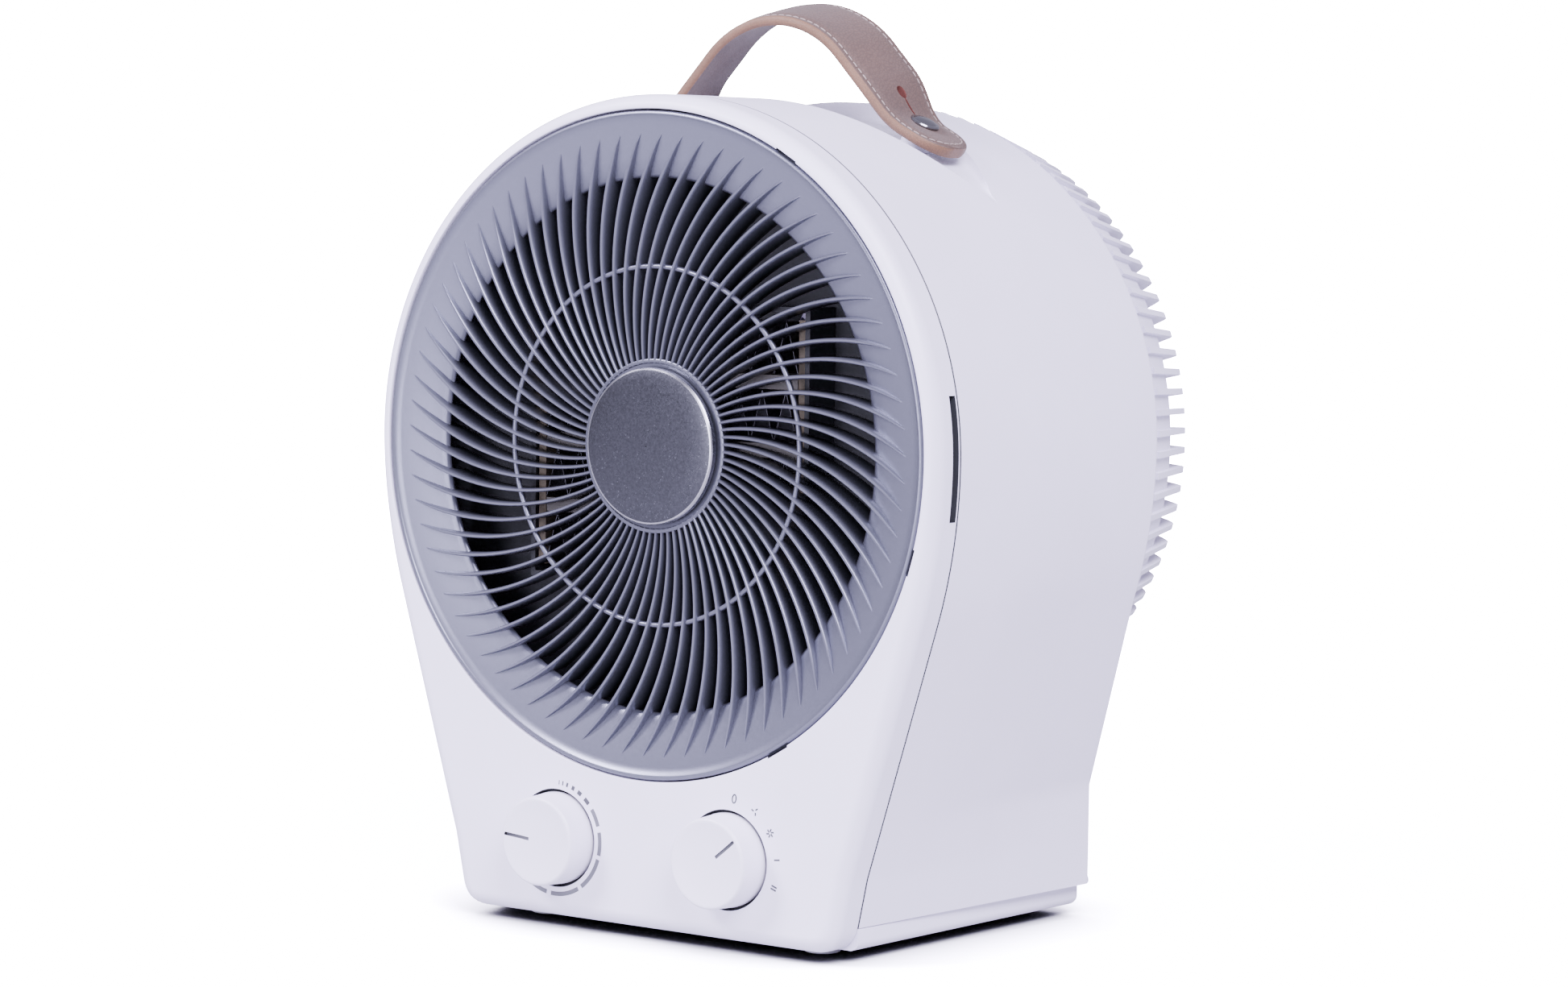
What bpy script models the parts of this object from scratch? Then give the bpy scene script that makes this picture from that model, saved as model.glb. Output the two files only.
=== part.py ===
"""Round ceramic space heater with a leather strap handle.

Metres, +Z up, front towards -Y.  The origin is under the middle of the bounding box.
"""
import math

import bmesh
import bpy
from mathutils import Matrix, Vector

# ---- driving dimensions -------------------------------------------------------------
FINGER_CLEAR = 0.0003          # gap between two pieces that touch
DEPTH = 0.1928                 # knob faces to the tips of the rear blades
KNOB_OUT = 0.0113              # knob face ahead of the front face
FRONT_Y = -DEPTH / 2 + KNOB_OUT
COVER_DEPTH = 0.0148           # front face to the split line
REAR_Y = FRONT_Y + 0.147       # flat back of the body shell
WALL = 0.0025

AXIS_Z = 0.1766                # height of the fan and grille axis
BODY_R = 0.1244                # round top of the body
SIDE_R = 0.195                 # flatter arc below the widest point
SIDE_TURN = math.radians(17.0)
WAIST_Z = 0.049                # below this the rear of the sides is upright
KNEE_Z = 0.030
BOTTOM_HALF = 0.083            # half width of the front cover at its foot
BOTTOM_Z = 0.004
SEAM_Z = 0.0122                # joint between the body shell and the base plate
CORNER_R = 0.006
FRONT_ROUND = 0.006

GRILLE_R = 0.1185
FIN_COUNT = 75
FIN_T = 0.0015
MOUTH_R = 0.092                # inner edge of the bell mouth
HUB_R = 0.0305
BADGE_R = 0.028
MID_RING_R = 0.0637

HUB_BORE_R = 0.022

REAR_BLADES = 60
REAR_BLADE_T = 0.0022
REAR_HUB_R = 0.032
REAR_MID_R = 0.074
REAR_OPEN_R = 0.112
REAR_RIM_R = 0.1240            # rim of the rear grille where it meets the body
REAR_TIP_R = 0.1140            # where its blades turn from the cone to the flat back

KNOB_X = 0.0383
KNOB_Z = 0.0332
KNOB_R = 0.0167
KNOB_POINT = {-1: math.radians(-84.0), 1: math.radians(60.0)}  # pointers at rest, from the top
WELL_R = 0.0176
WELL_DEPTH = 0.004
SHAFT_R = 0.003

STRAP_Y = FRONT_Y + 0.0898
STRAP_W = 0.030
STRAP_T = 0.004
STRAP_TOP = 0.3345
STRAP_ARCH_R = 0.0375
STRAP_LEG_TURN = math.radians(50.0)
STRAP_FOOT_R = 0.020
STRAP_TAIL_TURN = math.radians(35.0)
STUD_TURN = math.radians(26.4)
RECESS_HALF_X = 0.086
RECESS_HALF_Y = 0.027
RECESS_DEPTH = 0.005
RECESS_WALL = 0.0022

SLOT_Z = 0.1775
SLOT_HALF = 0.0215

HEATER_Y = FRONT_Y + 0.0223
WINDOW_X = 0.120
WINDOW_Z = 0.097
BAR_Z = 0.005
RADIATOR_Z = 0.0185
CORE_DEPTH = 0.014
CORE_X = 0.112

SHROUD_R = 0.098
SHROUD_START = FRONT_Y + 0.0343
SHROUD_END = FRONT_Y + 0.0803
FAN_R = 0.090
FAN_Y = FRONT_Y + 0.0543
FAN_BLADES = 7
FAN_HUB_R = 0.024
MOTOR_Y = FRONT_Y + 0.0923
MOTOR_R = 0.031
MOTOR_HALF = 0.017
BRACKET_Y = FRONT_Y + 0.1128
BRACKET_R = 0.1160

PLUNGER_Y = FRONT_Y + 0.0963
PLUNGER_R = 0.0035
FOOT_X = 0.068
FOOT_FRONT_Y = FRONT_Y + 0.026
FOOT_REAR_Y = REAR_Y - 0.016
BASE_SCREWS = ((0.0735, FRONT_Y + 0.0343), (0.080, FRONT_Y + 0.1143))
GLAND_X = 0.060
GLAND_Z = 0.030

Y_AXIS = Vector((0, 1, 0))
Z_AXIS = Vector((0, 0, 1))

# ---- scene and collections ----------------------------------------------------------
for old in list(bpy.data.objects):
    bpy.data.objects.remove(old, do_unlink=True)

parts = bpy.data.collections.new("ceramic_space_heater")
tools = bpy.data.collections.new("cutters")
bpy.context.scene.collection.children.link(parts)
bpy.context.scene.collection.children.link(tools)

FINISHES = {
    "white_plastic": ((0.80, 0.79, 0.83), 0.42, 0.0),
    "grey_plastic": ((0.42, 0.43, 0.48), 0.40, 0.0),
    "black_plastic": ((0.03, 0.03, 0.035), 0.55, 0.0),
    "badge_metal": ((0.42, 0.43, 0.47), 0.35, 0.8),
    "leather": ((0.36, 0.27, 0.24), 0.60, 0.0),
    "chrome": ((0.75, 0.75, 0.76), 0.15, 1.0),
    "steel": ((0.45, 0.45, 0.46), 0.38, 1.0),
    "aluminium": ((0.62, 0.63, 0.65), 0.35, 1.0),
    "ceramic": ((0.75, 0.73, 0.68), 0.70, 0.0),
    "mica": ((0.50, 0.42, 0.30), 0.65, 0.0),
    "brass": ((0.65, 0.48, 0.20), 0.35, 1.0),
    "rubber": ((0.45, 0.45, 0.47), 0.85, 0.0),
}


def finish(obj, name, look, home=None):
    """Name an object, give it its own material and put it in its collection."""
    obj.name = name
    obj.data.name = name
    for owner in list(obj.users_collection):
        owner.objects.unlink(obj)
    (home or parts).objects.link(obj)
    colour, roughness, metallic = FINISHES[look]
    material = bpy.data.materials.new(name + "_material")
    material.use_nodes = True
    shader = material.node_tree.nodes["Principled BSDF"]
    shader.inputs["Base Color"].default_value = (*colour, 1.0)
    shader.inputs["Roughness"].default_value = roughness
    shader.inputs["Metallic"].default_value = metallic
    obj.data.materials.clear()
    obj.data.materials.append(material)
    return obj


def smooth(obj, degrees=35.0):
    """Shade round faces smooth and keep the sharp edges."""
    obj.data.shade_smooth()
    obj.data.set_sharp_from_angle(angle=math.radians(degrees))
    return obj


def from_bmesh(mesh_builder, name, look, home=None):
    """Turn a bmesh into an object with outward faces."""
    bmesh.ops.recalc_face_normals(mesh_builder, faces=mesh_builder.faces)
    mesh = bpy.data.meshes.new(name)
    mesh_builder.to_mesh(mesh)
    mesh_builder.free()
    obj = bpy.data.objects.new(name, mesh)
    return finish(obj, name, look, home)


def as_tool(obj):
    """Hide a cutter or an added shape from the model."""
    for owner in list(obj.users_collection):
        owner.objects.unlink(obj)
    tools.objects.link(obj)
    obj.hide_render = True
    obj.display_type = "WIRE"
    return obj


def boolean(target, operand, operation):
    """Add an exact Boolean modifier that uses a hidden operand."""
    as_tool(operand)
    modifier = target.modifiers.new(operation.lower(), "BOOLEAN")
    modifier.operation = operation
    modifier.solver = "EXACT"
    modifier.object = operand
    return target


def cut(target, *operands):
    for operand in operands:
        boolean(target, operand, "DIFFERENCE")
    return target


def add(target, *operands):
    for operand in operands:
        boolean(target, operand, "UNION")
    return target


def turned_to(axis):
    """Rotation that takes +Z to an axis."""
    return Z_AXIS.rotation_difference(axis).to_matrix().to_4x4()


def box(name, look, low, high, home=None):
    """A box between two corners."""
    low, high = Vector(low), Vector(high)
    builder = bmesh.new()
    bmesh.ops.create_cube(builder, size=1.0)
    size = high - low
    bmesh.ops.scale(builder, vec=size, verts=builder.verts)
    obj = from_bmesh(builder, name, look, home)
    obj.location = (low + high) / 2
    return obj


def cylinder(name, look, radius, start, axis, length, sides=32, top_radius=None):
    """A cylinder or cone that starts at a point and runs along an axis."""
    builder = bmesh.new()
    bmesh.ops.create_cone(
        builder, cap_ends=True, segments=sides, radius1=radius,
        radius2=radius if top_radius is None else top_radius, depth=length)
    obj = from_bmesh(builder, name, look)
    axis = Vector(axis).normalized()
    obj.matrix_world = Matrix.Translation(Vector(start) + axis * length / 2) @ turned_to(axis)
    return smooth(obj)


def turned(name, look, profile, centre, axis, sides=64, closed=False):
    """A turned shape: (radius, along) points down the outer side, then round the axis."""
    builder = bmesh.new()
    verts = [builder.verts.new((radius, 0, along)) for radius, along in profile]
    pairs = list(zip(verts, verts[1:]))
    if closed:
        pairs.append((verts[-1], verts[0]))
    for first, second in pairs:
        builder.edges.new((first, second))
    mesh = bpy.data.meshes.new(name)
    builder.to_mesh(mesh)
    builder.free()
    obj = finish(bpy.data.objects.new(name, mesh), name, look)
    screw = obj.modifiers.new("turn", "SCREW")
    screw.steps = sides
    screw.render_steps = sides
    screw.use_merge_vertices = True
    screw.merge_threshold = 0.00001
    screw.use_smooth_shade = True
    obj.matrix_world = Matrix.Translation(Vector(centre)) @ turned_to(Vector(axis))
    return obj


def flat(name, look, outlines, thickness, place):
    """A flat piece: closed outlines in a plane, filled and extruded, moved by a matrix."""
    curve = bpy.data.curves.new(name, "CURVE")
    curve.dimensions = "2D"
    curve.fill_mode = "BOTH"
    curve.extrude = thickness / 2
    for outline in outlines:
        spline = curve.splines.new("POLY")
        spline.points.add(len(outline) - 1)
        for point, (u, v) in zip(spline.points, outline):
            point.co = (u, v, 0, 1)
        spline.use_cyclic_u = True
    source = bpy.data.objects.new(name, curve)
    bpy.context.scene.collection.objects.link(source)
    graph = bpy.context.evaluated_depsgraph_get()
    mesh = bpy.data.meshes.new_from_object(source.evaluated_get(graph))
    bpy.data.objects.remove(source)
    bpy.data.curves.remove(curve)
    builder = bmesh.new()
    builder.from_mesh(mesh)
    bmesh.ops.remove_doubles(builder, verts=builder.verts, dist=0.00001)
    bpy.data.meshes.remove(mesh)
    obj = from_bmesh(builder, name, look)
    obj.matrix_world = place
    return obj


def facing_front(y_centre):
    """Matrix that puts a flat piece upright: u is +X, v is +Z, thickness along Y."""
    return Matrix.Translation((0, y_centre, 0)) @ Matrix.Rotation(math.pi / 2, 4, "X")


def circle(radius, x=0.0, z=AXIS_Z, sides=64):
    step = 2 * math.pi / sides
    return [(x + radius * math.cos(i * step), z + radius * math.sin(i * step)) for i in range(sides)]


def rectangle(x_low, x_high, z_low, z_high):
    return [(x_low, z_low), (x_high, z_low), (x_high, z_high), (x_low, z_high)]


def grow(outline, distance):
    """Move a counter-clockwise outline outwards by a distance, with mitred corners."""
    result = []
    count = len(outline)
    for index, point in enumerate(outline):
        before = Vector(point) - Vector(outline[index - 1])
        after = Vector(outline[(index + 1) % count]) - Vector(point)
        first = Vector((before.y, -before.x)).normalized()
        second = Vector((after.y, -after.x)).normalized()
        normal = (first + second).normalized()
        moved = Vector(point) + normal * distance / max(normal.dot(first), 0.3)
        result.append((moved.x, moved.y))
    return result


# ---- the outline of the body --------------------------------------------------------
def side_points(bottom_z, upright=False):
    """Right side from the foot up to the widest point."""
    end_x = BODY_R - SIDE_R * (1 - math.cos(SIDE_TURN))
    end_z = AXIS_Z - SIDE_R * math.sin(SIDE_TURN)
    slope = math.tan(SIDE_TURN)
    waist = (end_x - slope * (end_z - WAIST_Z), WAIST_Z)
    knee = (waist[0] - slope * (WAIST_Z - KNEE_Z), KNEE_Z)
    share = (bottom_z - BOTTOM_Z) / (KNEE_Z - BOTTOM_Z)
    foot = (BOTTOM_HALF + (knee[0] - BOTTOM_HALF) * share, bottom_z)
    if upright:
        knee = (waist[0] + 0.0005, KNEE_Z)
        foot = (waist[0] + 0.0005, bottom_z)
    points = [foot, knee, waist]
    steps = 3
    for index in range(steps):
        turn = SIDE_TURN * (1 - index / steps)
        points.append((BODY_R - SIDE_R * (1 - math.cos(turn)), AXIS_Z - SIDE_R * math.sin(turn)))
    return points


def body_outline(bottom_z, upright=False, arc_steps=32):
    """The whole outline, counter-clockwise seen from the front, starting at the right foot."""
    right = side_points(bottom_z, upright)
    step = math.pi / arc_steps
    top = [(BODY_R * math.cos(i * step), AXIS_Z + BODY_R * math.sin(i * step))
           for i in range(arc_steps + 1)]
    left = [(-x, z) for x, z in reversed(right)]
    return right + top + left


def loft(name, look, sections):
    """A solid between outlines of equal length at rising Y, closed by a face at each end."""
    builder = bmesh.new()
    rings = []
    for y, outline in sections:
        rings.append([builder.verts.new((x, y, z)) for x, z in outline])
    count = len(rings[0])
    for near, far in zip(rings, rings[1:]):
        for i in range(count):
            j = (i + 1) % count
            builder.faces.new((near[i], near[j], far[j], far[i]))
    builder.faces.new(rings[0])
    builder.faces.new(list(reversed(rings[-1])))
    return from_bmesh(builder, name, look)


def rounded_foot(outline):
    """Round the two lowest corners of an outline that starts and ends at its feet."""
    def corner(foot, above, side):
        inner = (foot[0] - side * CORNER_R, foot[1])
        rise = (Vector(above) - Vector(foot)).normalized() * CORNER_R
        outer = (foot[0] + rise.x, foot[1] + rise.y)
        middle = (0.25 * inner[0] + 0.5 * foot[0] + 0.25 * outer[0],
                  0.25 * inner[1] + 0.5 * foot[1] + 0.25 * outer[1])
        return [inner, middle, outer]
    right = corner(outline[0], outline[1], 1)
    left = corner(outline[-1], outline[-2], -1)
    return right + outline[1:-1] + list(reversed(left))


# ---- front cover --------------------------------------------------------------------
def knob_centre(side):
    return (side * KNOB_X, KNOB_Z)


def front_cover():
    outline = rounded_foot(body_outline(BOTTOM_Z))
    back = FRONT_Y + COVER_DEPTH
    drop = FRONT_ROUND * (1 - math.cos(math.pi / 4))
    sections = [
        (FRONT_Y, grow(outline, -FRONT_ROUND)),
        (FRONT_Y + drop, grow(outline, -drop)),
        (FRONT_Y + FRONT_ROUND, outline),
        (back, outline),
    ]
    cover = loft("front_cover", "white_plastic", sections)
    space = loft("cover_hollow", "white_plastic",
                 [(FRONT_Y + WALL, grow(outline, -FRONT_ROUND - WALL * 0.4)),
                  (FRONT_Y + FRONT_ROUND, grow(outline, -WALL)),
                  (back + 0.002, grow(outline, -WALL))])
    for side in (-1, 1):
        x, z = knob_centre(side)
        cut(space, cylinder("well_%d" % side, "white_plastic", WELL_R + 0.002,
                            (x, FRONT_Y, z), Y_AXIS, WELL_DEPTH + 0.002, 32))
    collar_r = GRILLE_R + 0.0006
    cut(space, cylinder("collar", "white_plastic", collar_r + 0.0035,
                        (0, FRONT_Y, AXIS_Z), Y_AXIS, 0.0115, 64))
    cut(cover, space)
    cut(cover, cylinder("grille_opening", "white_plastic", collar_r,
                        (0, FRONT_Y - 0.002, AXIS_Z), Y_AXIS, 0.0205, 64))
    for side in (-1, 1):
        x, z = knob_centre(side)
        cut(cover,
            cylinder("well_cut_%d" % side, "white_plastic", WELL_R,
                     (x, FRONT_Y - 0.001, z), Y_AXIS, WELL_DEPTH + 0.001, 32),
            cylinder("shaft_hole_%d" % side, "white_plastic", SHAFT_R + 0.0008,
                     (x, FRONT_Y - 0.001, z), Y_AXIS, 0.012, 24))
        x_low, x_high = sorted((side * 0.1205, side * 0.130))
        cut(cover, box("side_slot_%d" % side, "white_plastic",
                       (x_low, back - 0.0048, SLOT_Z - SLOT_HALF),
                       (x_high, back - 0.0018, SLOT_Z + SLOT_HALF)))
    return cover


# ---- body shell with the handle recess ----------------------------------------------
RECESS_TOP = AXIS_Z + BODY_R - RECESS_DEPTH
RECESS_TIP_Z = AXIS_Z + math.sqrt(BODY_R ** 2 - RECESS_HALF_X ** 2)
RECESS_DROP = RECESS_TOP - RECESS_TIP_Z
RECESS_R = (RECESS_HALF_X ** 2 + RECESS_DROP ** 2) / (2 * RECESS_DROP)
RECESS_CENTRE_Z = RECESS_TOP - RECESS_R


def boat(extra):
    """Pointed oval seen from above, grown by a margin."""
    half_x = RECESS_HALF_X + extra * 2
    half_y = RECESS_HALF_Y + extra
    steps = 10
    front = []
    for i in range(steps + 1):
        share = -1 + 2 * i / steps
        front.append((half_x * share, -half_y * (1 - share ** 2)))
    back = [(x, -y) for x, y in reversed(front[1:-1])]
    return front + back


def recess_tool(name, extra, floor_r):
    """The space over a round floor inside the boat outline."""
    low, high = 0.255, 0.320
    place = Matrix.Translation((0, STRAP_Y, (low + high) / 2))
    tool = flat(name, "white_plastic", [boat(extra)], high - low, place)
    return cut(tool, cylinder(name + "_floor", "white_plastic", floor_r,
                              (0, STRAP_Y - 0.05, RECESS_CENTRE_Z), Y_AXIS, 0.10, 96))


def stud_frame(side):
    """Point on the round of the body under a stud, and the outward direction there."""
    turn = side * STUD_TURN
    direction = Vector((math.sin(turn), 0, math.cos(turn)))
    return Vector((0, STRAP_Y, AXIS_Z)) + direction * BODY_R, direction


def recess_depth_at_stud():
    """Depth of the recess floor below the round of the body, along the stud."""
    shift = RECESS_CENTRE_Z - AXIS_Z
    reach = shift * math.cos(STUD_TURN) + math.sqrt(RECESS_R ** 2 - (shift * math.sin(STUD_TURN)) ** 2)
    return BODY_R - reach


def stud_hole(name, side, radius):
    point, direction = stud_frame(side)
    return cylinder(name, "steel", radius, point - direction * 0.016, direction, 0.028, 24)


def body_shell():
    front = FRONT_Y + COVER_DEPTH + FINGER_CLEAR
    near = body_outline(SEAM_Z)
    far = body_outline(SEAM_Z, upright=True)
    low_near = body_outline(SEAM_Z - 0.010)
    low_far = body_outline(SEAM_Z - 0.010, upright=True)
    shell = loft("body_shell", "white_plastic", [(front, near), (REAR_Y, far)])
    cut(shell, loft("shell_hollow", "white_plastic",
                    [(front - 0.002, grow(low_near, -WALL)), (REAR_Y - WALL, grow(low_far, -WALL))]))
    skin = [(front, grow(near, -WALL / 2)), (REAR_Y - WALL / 2, grow(far, -WALL / 2))]
    pan = recess_tool("recess_pan", RECESS_WALL, RECESS_R - RECESS_WALL)
    boolean(pan, loft("pan_limit", "white_plastic", skin), "INTERSECT")
    add(shell, pan)
    cut(shell, recess_tool("recess_space", 0.0, RECESS_R))
    for side in (-1, 1):
        point, direction = stud_frame(side)
        add(shell, cylinder("stud_boss_%d" % side, "white_plastic", 0.0056,
                            point - direction * (recess_depth_at_stud() + 0.001), direction,
                            recess_depth_at_stud() + 0.001, 24))
        cut(shell, stud_hole("shell_stud_hole_%d" % side, side, 0.0029))
    cut(shell, cylinder("rear_opening", "white_plastic", REAR_OPEN_R,
                        (0, REAR_Y - 0.010, AXIS_Z), Y_AXIS, 0.020, 64))
    cut(shell, cylinder("gland_hole", "white_plastic", 0.0063,
                        (GLAND_X, REAR_Y - 0.010, GLAND_Z), Y_AXIS, 0.020, 24))
    for x, z in rear_screw_places():
        cut(shell, cylinder("rear_screw_hole", "white_plastic", 0.0022,
                            (x, REAR_Y - 0.010, z), Y_AXIS, 0.020, 16))
    for x, y in base_screw_places():
        side = math.copysign(1, x)
        x_low, x_high = sorted((x - side * 0.005, side * 0.098))
        lug = box("lug", "white_plastic", (x_low, y - 0.005, SEAM_Z + 0.0006), (x_high, y + 0.005, 0.026))
        boolean(lug, loft("lug_limit", "white_plastic", skin), "INTERSECT")
        add(shell, lug)
    for x, y in base_screw_places():
        cut(shell, cylinder("lug_bore", "white_plastic", 0.0019,
                            (x, y, SEAM_Z - 0.002), Z_AXIS, 0.012, 16))
    return shell


def rear_screw_places():
    return [(-0.080, 0.030), (0.080, 0.055), (-0.080, 0.055)]


def base_screw_places():
    return [(side * x, y) for side in (-1, 1) for x, y in BASE_SCREWS]


# ---- strap handle -------------------------------------------------------------------
def strap_path():
    """Middle line of half the strap from its top to its tip: points and directions."""
    rest_r = BODY_R + FINGER_CLEAR + STRAP_T / 2
    arch_r = STRAP_ARCH_R - STRAP_T / 2
    arch_z = STRAP_TOP - STRAP_ARCH_R
    along = Vector((math.cos(STRAP_LEG_TURN), -math.sin(STRAP_LEG_TURN)))
    outward = Vector((math.sin(STRAP_LEG_TURN), math.cos(STRAP_LEG_TURN)))
    leg_start = Vector((0, arch_z)) + outward * arch_r
    # slide the foot arc down the leg until it touches the circle that the tail rests on
    base = leg_start + outward * STRAP_FOOT_R - Vector((0, AXIS_Z))
    reach = rest_r + STRAP_FOOT_R
    b = base.dot(along)
    leg = -b - math.sqrt(b * b - base.dot(base) + reach * reach)
    if leg < 0:
        leg = -b + math.sqrt(b * b - base.dot(base) + reach * reach)
    foot_centre = leg_start + along * leg + outward * STRAP_FOOT_R
    touch = math.atan2(foot_centre.x, foot_centre.y - AXIS_Z)
    points = []
    arch_steps, foot_steps, tail_steps = 9, 4, 4
    for i in range(arch_steps + 1):
        turn = STRAP_LEG_TURN * i / arch_steps
        points.append((Vector((0, arch_z)) + arch_r * Vector((math.sin(turn), math.cos(turn))), turn))
    for i in range(foot_steps):
        turn = STRAP_LEG_TURN + (touch - STRAP_LEG_TURN) * i / foot_steps
        points.append((foot_centre - STRAP_FOOT_R * Vector((math.sin(turn), math.cos(turn))), turn))
    for i in range(tail_steps + 1):
        turn = touch + (STRAP_TAIL_TURN - touch) * i / tail_steps
        points.append((Vector((0, AXIS_Z)) + rest_r * Vector((math.sin(turn), math.cos(turn))), turn))
    return points


def handle_strap():
    half = strap_path()
    outer, inner = [], []
    for point, turn in half:
        normal = Vector((math.sin(turn), math.cos(turn)))
        outer.append(point + normal * STRAP_T / 2)
        inner.append(point - normal * STRAP_T / 2)
    right = [(p.x, p.y) for p in outer] + [(p.x, p.y) for p in reversed(inner)]
    left_inner = [(-p.x, p.y) for p in inner[1:]]
    left_outer = [(-p.x, p.y) for p in reversed(outer[1:])]
    strap = flat("handle_strap", "leather", [right + left_inner + left_outer], STRAP_W,
                 facing_front(STRAP_Y))
    for side in (-1, 1):
        cut(strap, stud_hole("strap_stud_hole_%d" % side, side, 0.0029))
    return smooth(strap)


def strap_fixings():
    for side, name in ((-1, "left"), (1, "right")):
        point, direction = stud_frame(side)
        seat = point + direction * (STRAP_T + 2 * FINGER_CLEAR + 0.00005)
        turned("strap_stud_" + name, "chrome",
               [(0, 0.0022), (0.0035, 0.0019), (0.0053, 0.0009), (0.0055, 0.0),
                (0.0025, 0.0), (0.0025, -0.0140), (0, -0.0140)],
               seat, direction, 24)
        under = point - direction * (recess_depth_at_stud() + RECESS_WALL + FINGER_CLEAR + 0.0034)
        cylinder("strap_nut_" + name, "steel", 0.0048, under, direction, 0.003, 6)
        cut(bpy.data.objects["strap_nut_" + name],
            cylinder("nut_bore_" + name, "steel", 0.0028, under - direction * 0.004, direction, 0.012, 24))


# ---- grilles ------------------------------------------------------------------------
def slotted_disc(name, look, count, blade_t, stations, bands):
    """A round grille made as one closed body.

    stations: (radius, front y, back y, turn) from the middle outwards.  bands: one entry for
    each gap between stations, 0 for a closed ring or n to keep every nth blade.
    """
    builder = bmesh.new()
    columns = 2 * count
    layers = []
    for radius, front, back, turn in stations:
        ring = []
        for column in range(columns):
            angle = 2 * math.pi * (column // 2) / count + turn
            angle += (blade_t / 2 if column % 2 else -blade_t / 2) / radius
            x, z = radius * math.sin(angle), AXIS_Z + radius * math.cos(angle)
            ring.append((builder.verts.new((x, front, z)), builder.verts.new((x, back, z))))
        layers.append(ring)

    def solid(band, column):
        if band < 0 or band >= len(bands):
            return False
        every = bands[band]
        if every == 0:
            return True
        return column % 2 == 0 and (column // 2) % every == 0

    for band in range(-1, len(bands)):
        for column in range(columns):
            after = (column + 1) % columns
            here = solid(band, column)
            if here:
                inner, outer = layers[band], layers[band + 1]
                for side in (0, 1):
                    builder.faces.new((inner[column][side], outer[column][side],
                                       outer[after][side], inner[after][side]))
            if band >= 0 and here != solid(band, column - 1):
                inner, outer = layers[band], layers[band + 1]
                builder.faces.new((inner[column][0], outer[column][0], outer[column][1], inner[column][1]))
            if here != solid(band + 1, column):
                ring = layers[band + 1]
                builder.faces.new((ring[column][0], ring[after][0], ring[after][1], ring[column][1]))
    loose = [vert for vert in builder.verts if not vert.link_faces]
    bmesh.ops.delete(builder, geom=loose, context="VERTS")
    return from_bmesh(builder, name, look)


def fin_turn(radius):
    """Clockwise sweep of a fin, seen from the front, from the hub out to a radius."""
    run = (radius - HUB_R) * 1000
    degrees = 0.24 * run + 0.0005 * run ** 2 - 0.48 * (1 - math.exp(-run / 6))
    return math.radians(degrees)


def fin_front(radius):
    """How far the front edge of a fin lies behind the front face."""
    share = (radius - HUB_R) / (GRILLE_R - HUB_R)
    return 0.0060 - 0.0048 * share


def front_grille():
    depths = ((HUB_BORE_R, 0.0055), (HUB_R, 0.0055), (MID_RING_R - 0.0012, 0.0070),
              (MID_RING_R + 0.0012, 0.0070), (MOUTH_R, 0.0095), (GRILLE_R, 0.0090))
    stations = []
    for radius, depth in depths:
        front = FRONT_Y + fin_front(max(radius, HUB_R))
        turn = fin_turn(min(max(radius, HUB_R), MOUTH_R))
        stations.append((radius, front, front + depth, turn))
    return slotted_disc("front_grille", "grey_plastic", FIN_COUNT, FIN_T, stations, (0, 1, 0, 1, 0))


def grille_badge():
    base_y = FRONT_Y + fin_front(HUB_R) - FINGER_CLEAR
    peg_r = HUB_BORE_R - 0.0006
    badge = [(0, 0.0040), (BADGE_R - 0.0012, 0.0040), (BADGE_R, 0.0028), (BADGE_R, 0.0),
             (peg_r, 0.0), (peg_r, -0.0040), (0, -0.0040)]
    return turned("grille_badge", "badge_metal", badge, (0, base_y, AXIS_Z), -Y_AXIS, 40)


def rear_grille():
    """A shallow basket: a closed cone behind the body, then blades across its flat back."""
    start = REAR_Y + FINGER_CLEAR
    end = DEPTH / 2
    blade = 0.0080
    rim = 0.0066
    stations = [
        (REAR_HUB_R - 0.006, end - blade, end - 0.0015, 0.0),
        (REAR_HUB_R, end - blade, end - 0.0015, 0.0),
        (REAR_MID_R - 0.0012, end - blade, end - 0.0005, 0.0),
        (REAR_MID_R + 0.0012, end - blade, end - 0.0005, 0.0),
        (REAR_TIP_R, end - blade, end, 0.0),
        (REAR_RIM_R, start, start + rim, 0.0),
    ]
    return slotted_disc("rear_grille", "white_plastic", REAR_BLADES, REAR_BLADE_T, stations, (0, 2, 0, 1, 0))


# ---- knobs, switch and thermostat ---------------------------------------------------
def knob(name, side):
    x, z = knob_centre(side)
    face = FRONT_Y - KNOB_OUT
    base = FRONT_Y + 0.0020
    bore_r = SHAFT_R + 0.00005
    profile = [(0, base - face - 0.0010), (0.0145, base - face - 0.0001), (0.0155, base - face),
               (KNOB_R - 0.0004, base - face - 0.0010), (KNOB_R, 0.0),
               (bore_r, 0.0), (bore_r, 0.0080), (0, 0.0080)]
    body = turned(name, "white_plastic", profile, (x, base, z), -Y_AXIS, 36)
    groove = box(name + "_groove", "white_plastic", (-0.0005, -0.0013, 0.0040), (0.0005, 0.0013, 0.0148))
    groove.matrix_world = (Matrix.Translation((x, face + 0.0003, z))
                           @ Matrix.Rotation(KNOB_POINT[side], 4, "Y")
                           @ Matrix.Translation(groove.location))
    return cut(body, groove)


def control_shaft(name, side):
    x, z = knob_centre(side)
    start = FRONT_Y + 0.0020 - 0.0077
    return cylinder(name, "steel", SHAFT_R - 0.00005, (x, start, z), Y_AXIS, 0.0210, 24)


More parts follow.
